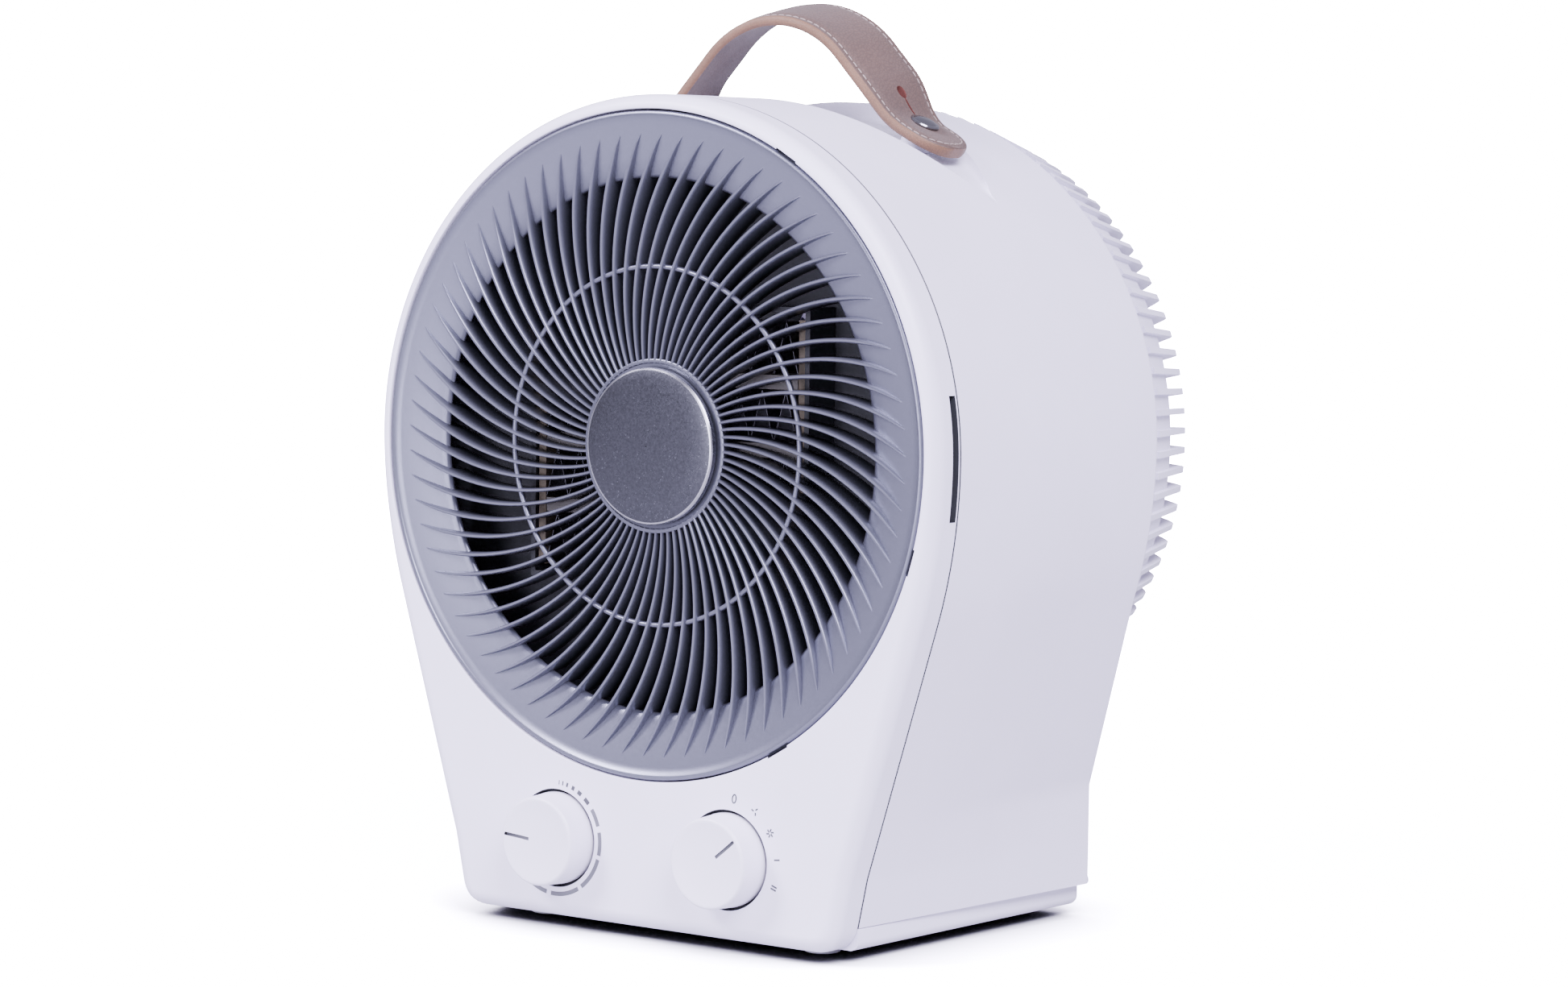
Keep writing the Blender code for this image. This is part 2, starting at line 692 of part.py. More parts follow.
def control_body(name, side, look, size):
    """Switch or thermostat case with a threaded bush that the shaft runs in."""
    x, z = knob_centre(side)
    front = FRONT_Y + 0.0106
    half_x, depth, half_z = size
    case = box(name, look, (x - half_x, front, z - half_z), (x + half_x, front + depth, z + half_z))
    add(case, cylinder(name + "_bush", look, 0.0050, (x, front - 0.0042, z), Y_AXIS, 0.0060, 32))
    cut(case, cylinder(name + "_bore", look, SHAFT_R + 0.0001, (x, front - 0.0060, z), Y_AXIS, 0.0125, 32))
    for index, offset in enumerate((-0.006, 0.0, 0.006)):
        tab = box("%s_tab_%d" % (name, index), look, (x + offset - 0.0016, front + depth - 0.001, z - 0.0005),
                  (x + offset + 0.0016, front + depth + 0.007, z + 0.0005))
        add(case, tab)
    return case


# ---- heater -------------------------------------------------------------------------
def heater():
    wide = WINDOW_X / 2
    high = WINDOW_Z / 2
    frame = flat("heater_frame", "black_plastic",
                 [circle(0.117, sides=64), rectangle(-wide, wide, AXIS_Z - high, AXIS_Z + high)],
                 0.0030, facing_front(HEATER_Y + 0.0085))
    rim = flat("frame_rim", "black_plastic",
               [rectangle(-wide - 0.002, wide + 0.002, AXIS_Z - high - 0.002, AXIS_Z + high + 0.002),
                rectangle(-wide, wide, AXIS_Z - high, AXIS_Z + high)],
               0.0170, facing_front(HEATER_Y))
    add(frame, rim)
    pitch = RADIATOR_Z + BAR_Z + 2 * FINGER_CLEAR
    for index in range(4):
        radiator(index, AXIS_Z + (index - 1.5) * pitch)
    for index in range(3):
        z = AXIS_Z + (index - 1) * pitch
        box("ceramic_bar_%d" % (index + 1), "ceramic",
            (-CORE_X / 2, HEATER_Y - CORE_DEPTH / 2, z - BAR_Z / 2),
            (CORE_X / 2, HEATER_Y + CORE_DEPTH / 2, z + BAR_Z / 2))
    for side, name in ((-1, "left"), (1, "right")):
        x_low, x_high = sorted((side * (CORE_X / 2 + 0.0004), side * (wide - 0.0004)))
        box("core_holder_" + name, "mica", (x_low, HEATER_Y - CORE_DEPTH / 2, AXIS_Z - 0.046),
            (x_high, HEATER_Y + CORE_DEPTH / 2, AXIS_Z + 0.046))
    cutout_z = AXIS_Z + high + 0.016
    turned("thermal_cutout", "steel", [(0, 0.006), (0.0080, 0.006), (0.0085, 0.0053), (0.0085, 0.0), (0, 0.0)],
           (0.0, HEATER_Y + 0.0070 - FINGER_CLEAR, cutout_z), -Y_AXIS, 32)


def radiator(index, z):
    """Corrugated strip between two ceramic bars, one zigzag ribbon."""
    folds = 22
    low, high = -RADIATOR_Z / 2, RADIATOR_Z / 2
    ribbon = 0.0007
    step = CORE_X / folds
    upper, lower = [], []
    for i in range(folds + 1):
        x = -CORE_X / 2 + i * step
        level = high - ribbon if i % 2 else low
        upper.append((x, z + level + ribbon))
        lower.append((x, z + level))
    outline = lower + list(reversed(upper))
    return flat("radiator_%d" % (index + 1), "aluminium", [outline], CORE_DEPTH, facing_front(HEATER_Y))


# ---- fan ----------------------------------------------------------------------------
def fan_shroud():
    start, end = SHROUD_START, SHROUD_END
    profile = [
        (SHROUD_R + 0.0150, start), (SHROUD_R + 0.0150, start + 0.0020), (SHROUD_R + 0.0045, start + 0.0030),
        (SHROUD_R + 0.0020, start + 0.0080), (SHROUD_R + 0.0020, end), (SHROUD_R, end),
        (SHROUD_R, start + 0.0070), (SHROUD_R + 0.0050, start),
    ]
    outline = [(radius, along) for radius, along in reversed(profile)]
    return turned("fan_shroud", "black_plastic", outline, (0, 0, AXIS_Z), Y_AXIS, 48, closed=True)


def fan_blade(builder, start_angle):
    """A twisted, slightly swept blade lofted along its radius."""
    rings = []
    steps = 4
    for i in range(steps + 1):
        share = i / steps
        radius = FAN_HUB_R - 0.002 + (FAN_R - FAN_HUB_R + 0.002) * share
        chord = 0.030 + 0.022 * math.sin(math.pi * 0.55 * share)
        pitch = math.radians(48 - 24 * share)
        lead = start_angle + 0.30 * share
        ring = []
        for u, v in ((-0.5, -0.0009), (0.5, -0.0009), (0.5, 0.0009), (-0.5, 0.0009)):
            along = u * chord * math.cos(pitch) - v * math.sin(pitch)
            depth = u * chord * math.sin(pitch) + v * math.cos(pitch)
            angle = lead + along / radius
            ring.append(builder.verts.new((
                radius * math.sin(angle), FAN_Y + depth * 0.55, AXIS_Z + radius * math.cos(angle))))
        rings.append(ring)
    for near, far in zip(rings, rings[1:]):
        for i in range(4):
            j = (i + 1) % 4
            builder.faces.new((near[i], near[j], far[j], far[i]))
    builder.faces.new(rings[0])
    builder.faces.new(list(reversed(rings[-1])))


def fan():
    centre = (0, FAN_Y, AXIS_Z)
    hub = turned("fan_impeller", "grey_plastic",
                 [(0.0033, 0.0120), (0.0080, 0.0120), (0.0200, 0.0090), (FAN_HUB_R, 0.0060),
                  (FAN_HUB_R, -0.0120), (FAN_HUB_R - 0.002, -0.0120), (FAN_HUB_R - 0.002, 0.0050), (0.0080, 0.0080),
                  (0.0080, -0.0060), (0.0033, -0.0060)],
                 centre, -Y_AXIS, 21, closed=True)
    blades = bmesh.new()
    for index in range(FAN_BLADES):
        fan_blade(blades, 2 * math.pi * index / FAN_BLADES)
    add(hub, from_bmesh(blades, "blades", "grey_plastic"))
    cut(hub, cylinder("impeller_bore", "grey_plastic", 0.0033, (0, FAN_Y - 0.02, AXIS_Z), Y_AXIS, 0.034, 24))
    cylinder("motor_shaft", "steel", 0.0030, (0, FAN_Y - 0.0185, AXIS_Z), Y_AXIS,
             MOTOR_Y - MOTOR_HALF - FAN_Y + 0.0185 + 0.0280, 24)
    nut = cylinder("fan_nut", "brass", 0.0065, (0, FAN_Y - 0.0170, AXIS_Z), Y_AXIS, 0.0047, 6)
    cut(nut, cylinder("fan_nut_bore", "brass", 0.0033, (0, FAN_Y - 0.020, AXIS_Z), Y_AXIS, 0.010, 24))


def motor():
    front, back = MOTOR_Y - MOTOR_HALF, MOTOR_Y + MOTOR_HALF
    profile = [(0, back), (0.012, back), (0.0125, back - 0.003), (MOTOR_R - 0.004, back - 0.004),
               (MOTOR_R, back - 0.008), (MOTOR_R, front + 0.008), (MOTOR_R - 0.004, front + 0.004),
               (0.0100, front + 0.003), (0.0095, front), (0, front)]
    case = turned("motor_housing", "steel", profile, (0, 0, AXIS_Z), Y_AXIS, 28)
    cut(case, cylinder("motor_bore", "steel", 0.00308, (0, front - 0.002, AXIS_Z), Y_AXIS, 0.0310, 24))
    bracket = flat("motor_bracket", "black_plastic",
                   [circle(BRACKET_R, sides=36), circle(BRACKET_R - 0.010, sides=36)],
                   0.0030, facing_front(BRACKET_Y))
    arm = []
    for index in range(2):
        tilt = math.pi / 4 + index * math.pi / 2
        bar = box("arm_%d" % index, "black_plastic", (-BRACKET_R + 0.004, BRACKET_Y - 0.0030, -0.006),
                  (BRACKET_R - 0.004, BRACKET_Y + 0.0012, 0.006))
        bar.matrix_world = (Matrix.Translation((0, BRACKET_Y - 0.0009, AXIS_Z))
                            @ Matrix.Rotation(tilt, 4, "Y"))
        arm.append(bar)
    add(bracket, *arm)
    add(bracket, cylinder("bracket_plate", "black_plastic", 0.034, (0, BRACKET_Y - 0.0026, AXIS_Z), Y_AXIS,
                          0.0044, 32))
    cut(bracket, cylinder("bracket_eye", "black_plastic", 0.0130, (0, BRACKET_Y - 0.01, AXIS_Z), Y_AXIS,
                          0.02, 24))
    for index, (x, z) in enumerate(motor_screw_places()):
        cut(bracket, cylinder("bracket_hole_%d" % index, "steel", 0.0020, (x, BRACKET_Y - 0.01, z), Y_AXIS,
                              0.02, 10))
        cut(case, cylinder("motor_hole_%d" % index, "steel", 0.0019, (x, back - 0.012, z), Y_AXIS, 0.014, 10))
        screw("motor_screw_%d" % (index + 1), (x, BRACKET_Y + 0.0018 + FINGER_CLEAR, z), -Y_AXIS, 0.0090)


def motor_screw_places():
    radius = 0.0190
    return [(radius * math.cos(a), AXIS_Z + radius * math.sin(a)) for a in (0.0, 2.0944, 4.1888)]


def screw(name, seat, axis, length, head_r=0.0034):
    """Pan-head screw: the head sits on a surface and the shank runs along an axis."""
    profile = [(0, length), (0.0016, length), (0.0016, 0.0), (head_r, 0.0),
               (head_r * 0.85, -0.0014), (0, -0.0020)]
    made = turned(name, "steel", profile, seat, axis, 12)
    slot = box(name + "_slot", "steel", (-head_r * 0.7, -0.0004, -0.0030), (head_r * 0.7, 0.0004, -0.0012))
    slot.matrix_world = made.matrix_world @ Matrix.Translation((0, 0, -0.0021))
    return cut(made, slot)


# ---- base, feet, tilt switch and wiring ---------------------------------------------
def base_plate():
    front = FRONT_Y + COVER_DEPTH + FINGER_CLEAR
    top = SEAM_Z - FINGER_CLEAR
    near, far = BOTTOM_HALF - 0.0010, 0.0915
    inset = 0.0035
    builder = bmesh.new()
    rings = []
    for z, shrink in ((BOTTOM_Z, inset), (BOTTOM_Z + 0.0035, 0.0008), (top, 0.0)):
        y_back = REAR_Y - shrink
        corners = [(-near + shrink, front), (near - shrink, front), (far + 0.002 - shrink, y_back),
                   (-far - 0.002 + shrink, y_back)]
        rings.append([builder.verts.new((x, y, z)) for x, y in corners])
    for low, high in zip(rings, rings[1:]):
        for i in range(4):
            j = (i + 1) % 4
            builder.faces.new((low[i], low[j], high[j], high[i]))
    builder.faces.new(list(reversed(rings[0])))
    builder.faces.new(rings[-1])
    base = from_bmesh(builder, "base_plate", "white_plastic")
    cut(base, box("base_hollow", "white_plastic", (-0.064, front + 0.006, BOTTOM_Z + 0.003),
                  (0.064, REAR_Y - 0.006, top + 0.004)))
    for x, y in base_screw_places():
        cut(base, cylinder("base_screw_hole", "white_plastic", 0.0020, (x, y, 0.0), Z_AXIS, 0.030, 10),
            cylinder("base_screw_recess", "white_plastic", 0.0040, (x, y, 0.0), Z_AXIS, 0.0070, 14))
    for x, y in foot_places():
        cut(base, cylinder("foot_socket", "white_plastic", 0.0036, (x, y, 0.0), Z_AXIS, 0.020, 12))
    cut(base, cylinder("plunger_hole", "white_plastic", PLUNGER_R + 0.0008,
                       (0, PLUNGER_Y, 0.0), Z_AXIS, 0.020, 24))
    for index, (x, y) in enumerate(base_screw_places()):
        screw("base_screw_%d" % (index + 1), (x, y, 0.0070 - FINGER_CLEAR), Z_AXIS, 0.0120)


def foot_places():
    return [(side * (FOOT_X - (0.006 if y < 0 else 0.0)), y)
            for y in (FOOT_FRONT_Y, FOOT_REAR_Y) for side in (-1, 1)]


def feet():
    for name, (x, y) in zip(("front_left", "front_right", "rear_left", "rear_right"), foot_places()):
        seat = BOTTOM_Z - FINGER_CLEAR
        profile = [(0, 0.0090), (0.0033, 0.0090), (0.0033, seat), (0.0070, seat),
                   (0.0070, 0.0008), (0.0062, 0.0), (0, 0.0)]
        turned("foot_" + name, "rubber", profile, (x, y, 0), Z_AXIS, 16)


def tilt_switch():
    low = BOTTOM_Z + 0.0035
    case = box("tilt_switch_body", "black_plastic", (-0.009, PLUNGER_Y - 0.014, low),
               (0.009, PLUNGER_Y + 0.014, low + 0.026))
    cut(case, cylinder("switch_bore", "black_plastic", PLUNGER_R + 0.0003,
                       (0, PLUNGER_Y, low - 0.001), Z_AXIS, 0.021, 24))
    rod_top = low + 0.0120
    profile = [(0, rod_top), (PLUNGER_R, rod_top), (PLUNGER_R, 0.0012), (PLUNGER_R - 0.0010, 0.0), (0, 0.0)]
    turned("tilt_plunger", "white_plastic", profile, (0, PLUNGER_Y, 0), Z_AXIS, 24)
    spring_box = [(PLUNGER_R - 0.0006, rod_top + 0.0070), (PLUNGER_R - 0.0006, rod_top + FINGER_CLEAR),
                  (PLUNGER_R - 0.0014, rod_top + FINGER_CLEAR), (PLUNGER_R - 0.0014, rod_top + 0.0070)]
    turned("tilt_spring", "steel", spring_box, (0, PLUNGER_Y, 0), Z_AXIS, 24, closed=True)


def wiring():
    block_y = FRONT_Y + 0.1043
    box("terminal_block", "white_plastic", (0.020, block_y, 0.0077), (0.050, block_y + 0.016, 0.0240))
    outline = [(0.0095, 0.0003), (0.0095, 0.0028), (0.0070, 0.0040), (0.0038, 0.0040), (0.0038, -0.0090),
               (0.0058, -0.0090), (0.0058, 0.0003)]
    turned("cord_gland", "black_plastic", list(reversed(outline)), (GLAND_X, REAR_Y, GLAND_Z), Y_AXIS, 24,
           closed=True)
    for index, (x, z) in enumerate(rear_screw_places()):
        screw("rear_screw_%d" % (index + 1), (x, REAR_Y + FINGER_CLEAR, z), -Y_AXIS, 0.0120)


front_cover()
body_shell()
base_plate()
feet()
handle_strap()
strap_fixings()
front_grille()
grille_badge()
rear_grille()
knob("thermostat_knob", -1)
knob("selector_knob", 1)
control_shaft("thermostat_shaft", -1)
control_shaft("selector_shaft", 1)
control_body("thermostat_body", -1, "steel", (0.0150, 0.0140, 0.0120))
control_body("selector_switch_body", 1, "black_plastic", (0.0140, 0.0180, 0.0140))
heater()
fan_shroud()
fan()
motor()
tilt_switch()
wiring()
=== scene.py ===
"""Looks of the round ceramic space heater: moulded shells, swept grille, leather strap."""
import math

import bmesh
import bpy
import numpy as np
from mathutils import Matrix, Vector


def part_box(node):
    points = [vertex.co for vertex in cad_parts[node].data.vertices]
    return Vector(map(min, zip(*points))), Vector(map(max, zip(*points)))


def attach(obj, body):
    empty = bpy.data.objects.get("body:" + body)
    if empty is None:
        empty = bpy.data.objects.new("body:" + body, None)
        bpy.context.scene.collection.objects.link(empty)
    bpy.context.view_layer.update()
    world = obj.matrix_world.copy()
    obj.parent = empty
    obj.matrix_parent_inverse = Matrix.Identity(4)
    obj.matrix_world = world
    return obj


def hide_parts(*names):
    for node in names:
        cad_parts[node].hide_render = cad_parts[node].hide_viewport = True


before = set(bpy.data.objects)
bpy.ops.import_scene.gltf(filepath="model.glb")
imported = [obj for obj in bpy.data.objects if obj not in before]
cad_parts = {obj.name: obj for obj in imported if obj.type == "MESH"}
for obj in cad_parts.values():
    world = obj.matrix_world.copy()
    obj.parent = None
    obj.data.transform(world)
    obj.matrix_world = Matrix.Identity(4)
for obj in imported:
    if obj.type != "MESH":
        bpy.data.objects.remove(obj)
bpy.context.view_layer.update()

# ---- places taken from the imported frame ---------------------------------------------
MM = 0.001
cover_low, cover_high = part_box("front_cover")
shell_low, shell_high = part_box("body_shell")
grille_low, grille_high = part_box("front_grille")
strap_low, strap_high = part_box("handle_strap")
rear_low, rear_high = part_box("rear_grille")
base_low, base_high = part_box("base_plate")
FRONT_Y, SPLIT_Y = cover_low.y, cover_high.y
SHELL_Y, BACK_Y = shell_low.y, shell_high.y
BODY_R = cover_high.x
AXIS_Z = cover_high.z - BODY_R
FOOT_Z = cover_low.z
SEAM_Z = shell_low.z
GRILLE_R = grille_high.x
STRAP_Y = (strap_low.y + strap_high.y) / 2
CENTRE = Vector((0, 0, AXIS_Z))
Y_AXIS = Vector((0, 1, 0))
Z_AXIS = Vector((0, 0, 1))

# ---- outline of the body, as on the frame -------------------------------------------
SIDE_R = 195 * MM
SIDE_TURN = math.radians(17.0)
WAIST_Z = 49 * MM
KNEE_Z = 30 * MM
BOTTOM_HALF = 83 * MM
WALL = 2.5 * MM
OPEN_R = GRILLE_R + 0.7 * MM


# ---- small helpers ------------------------------------------------------------------
def lerp(a, b, t):
    return a + (b - a) * t


def ease(t):
    """Smooth step from 0 to 1."""
    t = min(max(t, 0.0), 1.0)
    return t * t * (3 - 2 * t)


def middle_of(name):
    """Centre of a frame piece's box, as x, y and z."""
    low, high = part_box(name)
    return tuple((a + b) / 2 for a, b in zip(low, high))


def make(name, verts, faces, materials, smooth=True, sharp=35.0):
    """An object from points and faces, shaded smooth with sharp edges kept."""
    mesh = bpy.data.meshes.new(name)
    mesh.from_pydata([tuple(v) for v in verts], [], faces)
    obj = bpy.data.objects.new(name, mesh)
    bpy.context.scene.collection.objects.link(obj)
    for material in materials if isinstance(materials, (list, tuple)) else [materials]:
        mesh.materials.append(material)
    builder = bmesh.new()
    builder.from_mesh(mesh)
    bmesh.ops.recalc_face_normals(builder, faces=builder.faces)
    builder.to_mesh(mesh)
    builder.free()
    if smooth:
        mesh.shade_smooth()
        mesh.set_sharp_from_angle(angle=math.radians(sharp))
    return obj


class Pile:
    """Collects points and faces of many shells for one object."""

    def __init__(self):
        self.verts, self.faces, self.looks = [], [], []

    def rows(self, rows, close_along=True, close_rows=False, caps=False, look=0):
        """Skin a list of equally long rows of points."""
        start = len(self.verts)
        width = len(rows[0])
        for row in rows:
            self.verts.extend(row)
        spans = len(rows) if close_rows else len(rows) - 1
        steps = width if close_along else width - 1
        for r in range(spans):
            below = start + r * width
            above = start + ((r + 1) % len(rows)) * width
            for i in range(steps):
                j = (i + 1) % width
                self.faces.append((below + i, below + j, above + j, above + i))
                self.looks.append(look)
        if caps:
            self.faces.append(tuple(range(start + width - 1, start - 1, -1)))
            last = start + (len(rows) - 1) * width
            self.faces.append(tuple(range(last, last + width)))
            self.looks.extend((look, look))

    def build(self, name, materials, sharp=35.0):
        obj = make(name, self.verts, self.faces, materials, sharp=sharp)
        obj.data.polygons.foreach_set("material_index", self.looks)
        return obj


def turned_rows(profile, centre, axis, sides):
    """Rings of points for (radius, along) pairs about an axis."""
    turn = Z_AXIS.rotation_difference(Vector(axis)).to_matrix()
    rows = []
    for radius, along in profile:
        ring = []
        for k in range(sides):
            a = 2 * math.pi * k / sides
            spoke = Vector((radius * math.cos(a), radius * math.sin(a), along))
            ring.append(Vector(centre) + turn @ spoke)
        rows.append(ring)
    return rows


def cut_out(obj, cutters):
    """Cut several closed shapes from an object and keep its shading clean."""
    for cutter in cutters:
        modifier = obj.modifiers.new("cut", "BOOLEAN")
        modifier.operation = "DIFFERENCE"
        modifier.solver = "EXACT"
        modifier.object = cutter
    apply_modifiers(obj)
    for cutter in cutters:
        bpy.data.objects.remove(cutter, do_unlink=True)
    obj.data.shade_smooth()
    obj.data.set_sharp_from_angle(angle=math.radians(30))
    return obj


def apply_modifiers(obj):
    """Replace an object's mesh with the result of its modifiers."""
    graph = bpy.context.evaluated_depsgraph_get()
    graph.update()
    mesh = bpy.data.meshes.new_from_object(obj.evaluated_get(graph))
    obj.modifiers.clear()
    old = obj.data
    obj.data = mesh
    bpy.data.meshes.remove(old)


def weighted(obj):
    """Let large flat faces set the shading, so moulded faces look flat."""
    modifier = obj.modifiers.new("weighted", "WEIGHTED_NORMAL")
    modifier.keep_sharp = True
    modifier.weight = 100
    return obj


def block(name, size, centre, turn=None, material=None):
    """A box-shaped cutter."""
    builder = bmesh.new()
    bmesh.ops.create_cube(builder, size=1.0)
    bmesh.ops.scale(builder, vec=size, verts=builder.verts)
    if turn is not None:
        bmesh.ops.transform(builder, matrix=turn, verts=builder.verts)
    bmesh.ops.translate(builder, vec=centre, verts=builder.verts)
    mesh = bpy.data.meshes.new(name)
    builder.to_mesh(mesh)
    builder.free()
    obj = bpy.data.objects.new(name, mesh)
    bpy.context.scene.collection.objects.link(obj)
    if material:
        mesh.materials.append(material)
    return obj


def rod(name, profile, centre, axis, sides=48, material=None):
    """A closed turned shape whose profile may touch its axis only at its flat ends."""
    pile = Pile()
    pile.rows(turned_rows(profile, centre, axis, sides), caps=True)
    return pile.build(name, [material] if material else [])


# ---- materials ----------------------------------------------------------------------
def new_material(name):
    material = bpy.data.materials.new(name)
    material.use_nodes = True
    nodes = material.node_tree.nodes
    links = material.node_tree.links
    shader = nodes["Principled BSDF"]
    place = nodes.new("ShaderNodeTexCoord")
    return material, nodes, links, shader, place


def noise_node(nodes, links, place, scale, detail=4.0, rough=0.55):
    node = nodes.new("ShaderNodeTexNoise")
    node.inputs["Scale"].default_value = scale
    node.inputs["Detail"].default_value = detail
    node.inputs["Roughness"].default_value = rough
    links.new(place.outputs["Object"], node.inputs["Vector"])
    return node


def ramp_node(nodes, links, source, low, high, start=0.3, end=0.7):
    node = nodes.new("ShaderNodeValToRGB")
    node.color_ramp.elements[0].position = start
    node.color_ramp.elements[1].position = end
    node.color_ramp.elements[0].color = (*low, 1) if isinstance(low, tuple) else (low, low, low, 1)
    node.color_ramp.elements[1].color = (*high, 1) if isinstance(high, tuple) else (high, high, high, 1)
    links.new(source, node.inputs["Fac"])
    return node


def bump_node(nodes, links, height, strength, distance, before=None):
    node = nodes.new("ShaderNodeBump")
    node.inputs["Strength"].default_value = strength
    node.inputs["Distance"].default_value = distance
    links.new(height, node.inputs["Height"])
    if before is not None:
        links.new(before.outputs["Normal"], node.inputs["Normal"])
    return node


def span_node(nodes, links, source, start, end, low, high):
    """Map a value from one range to another."""
    node = nodes.new("ShaderNodeMapRange")
    for socket, value in (("From Min", start), ("From Max", end), ("To Min", low), ("To Max", high)):
        node.inputs[socket].default_value = value
    links.new(source, node.inputs["Value"])
    return node


def multiply_node(nodes, links, first, second, share):
    """Multiply one colour by another."""
    node = nodes.new("ShaderNodeMixRGB")
    node.blend_type = "MULTIPLY"
    node.inputs["Fac"].default_value = share
    links.new(first.outputs["Color"], node.inputs["Color1"])
    links.new(second.outputs["Color"], node.inputs["Color2"])
    return node


def camera_sees(nodes, links, others, shown, output):
    """Show one shader to the camera and another to every other ray."""
    path = nodes.new("ShaderNodeLightPath")
    mix = nodes.new("ShaderNodeMixShader")
    links.new(path.outputs["Is Camera Ray"], mix.inputs["Fac"])
    links.new(others, mix.inputs[1])
    links.new(shown, mix.inputs[2])
    links.new(mix.outputs["Shader"], nodes[output].inputs["Surface"])


def finish(links, shader, tint, gloss, relief):
    """Wire a colour, a gloss and a relief into the shader."""
    links.new(tint.outputs["Color"], shader.inputs["Base Color"])
    links.new(gloss.outputs["Color"], shader.inputs["Roughness"])
    links.new(relief.outputs["Normal"], shader.inputs["Normal"])


def shade(colour, factor):
    return tuple(min(c * factor, 1.0) for c in colour)


def moulded(name, colour, roughness, grain=2600.0, grain_depth=0.000025, metallic=0.0, spread=0.03):
    """Moulded plastic or cast metal: faint cloudiness, fine eroded grain, uneven gloss."""
    material, nodes, links, shader, place = new_material(name)
    cloud = noise_node(nodes, links, place, 14.0, 3.0)
    tint = ramp_node(nodes, links, cloud.outputs["Fac"], shade(colour, 1 - spread), shade(colour, 1 + spread))
    fine = noise_node(nodes, links, place, grain, 2.0)
    gloss = ramp_node(nodes, links, fine.outputs["Fac"], roughness - 0.04, roughness + 0.06)
    sag = noise_node(nodes, links, place, 30.0, 2.0)
    soft = bump_node(nodes, links, sag.outputs["Fac"], 0.10, 0.0004)
    relief = bump_node(nodes, links, fine.outputs["Fac"], 0.30, grain_depth, soft)
    finish(links, shader, tint, gloss, relief)
    shader.inputs["Metallic"].default_value = metallic
    return material


def sparkle_lacquer(name, colour):
    """Metallic lacquer with bright flakes of many sizes."""
    material, nodes, links, shader, place = new_material(name)
    flakes = nodes.new("ShaderNodeTexVoronoi")
    flakes.inputs["Scale"].default_value = 2400.0
    links.new(place.outputs["Object"], flakes.inputs["Vector"])
    grey = nodes.new("ShaderNodeRGBToBW")
    links.new(flakes.outputs["Color"], grey.inputs["Color"])
    tint = ramp_node(nodes, links, grey.outputs["Val"], shade(colour, 0.95), shade(colour, 2.4), 0.84, 0.97)
    speck = noise_node(nodes, links, place, 900.0, 3.0, 0.7)
    patch = ramp_node(nodes, links, speck.outputs["Fac"], 0.78, 1.12, 0.35, 0.70)
    mix = multiply_node(nodes, links, tint, patch, 1.0)
    gloss = ramp_node(nodes, links, grey.outputs["Val"], 0.42, 0.26, 0.2, 0.9)
    relief = bump_node(nodes, links, grey.outputs["Val"], 0.14, 0.00006)
    finish(links, shader, mix, gloss, relief)
    shader.inputs["Metallic"].default_value = 0.85
    return material


def leather(name, colour, roughness=0.55, grain=750.0, depth=0.00012):
    """Pebbled leather with pores, creases and a faint sheen."""
    material, nodes, links, shader, place = new_material(name)
    cells = nodes.new("ShaderNodeTexVoronoi")
    cells.feature = "DISTANCE_TO_EDGE"
    cells.inputs["Scale"].default_value = grain
    warp = noise_node(nodes, links, place, 60.0, 4.0)
    bend = nodes.new("ShaderNodeVectorMath")
    bend.operation = "MULTIPLY_ADD"
    links.new(warp.outputs["Color"], bend.inputs[0])
    bend.inputs[1].default_value = (0.002, 0.002, 0.002)
    links.new(place.outputs["Object"], bend.inputs[2])
    links.new(bend.outputs["Vector"], cells.inputs["Vector"])
    pebble = ramp_node(nodes, links, cells.outputs["Distance"], 0.0, 1.0, 0.0, 0.22)
    cloud = noise_node(nodes, links, place, 45.0, 6.0, 0.6)
    tint = ramp_node(nodes, links, cloud.outputs["Fac"], shade(colour, 0.88), shade(colour, 1.10), 0.32, 0.70)
    mix = multiply_node(nodes, links, tint, pebble, 0.30)
    gloss = ramp_node(nodes, links, cloud.outputs["Fac"], roughness + 0.08, roughness - 0.06)
    crease = bump_node(nodes, links, cloud.outputs["Fac"], 0.25, 0.0004)
    relief = bump_node(nodes, links, pebble.outputs["Color"], 0.45, depth, crease)
    finish(links, shader, mix, gloss, relief)
    shader.inputs["Sheen Weight"].default_value = 0.15
    return material


def brushed(name, colour, roughness, stretch=(1.0, 1.0, 40.0), metallic=1.0):
    """Drawn or turned metal with fine lines one way."""
    material, nodes, links, shader, place = new_material(name)
    mapping = nodes.new("ShaderNodeMapping")
    mapping.inputs["Scale"].default_value = stretch
    links.new(place.outputs["Object"], mapping.inputs["Vector"])
    lines = nodes.new("ShaderNodeTexNoise")
    lines.inputs["Scale"].default_value = 90.0
    lines.inputs["Detail"].default_value = 5.0
    links.new(mapping.outputs["Vector"], lines.inputs["Vector"])
    tint = ramp_node(nodes, links, lines.outputs["Fac"], shade(colour, 0.82), shade(colour, 1.12))
    gloss = ramp_node(nodes, links, lines.outputs["Fac"], roughness - 0.06, roughness + 0.12)
    relief = bump_node(nodes, links, lines.outputs["Fac"], 0.20, 0.00006)
    finish(links, shader, tint, gloss, relief)
    shader.inputs["Metallic"].default_value = metallic
    return material


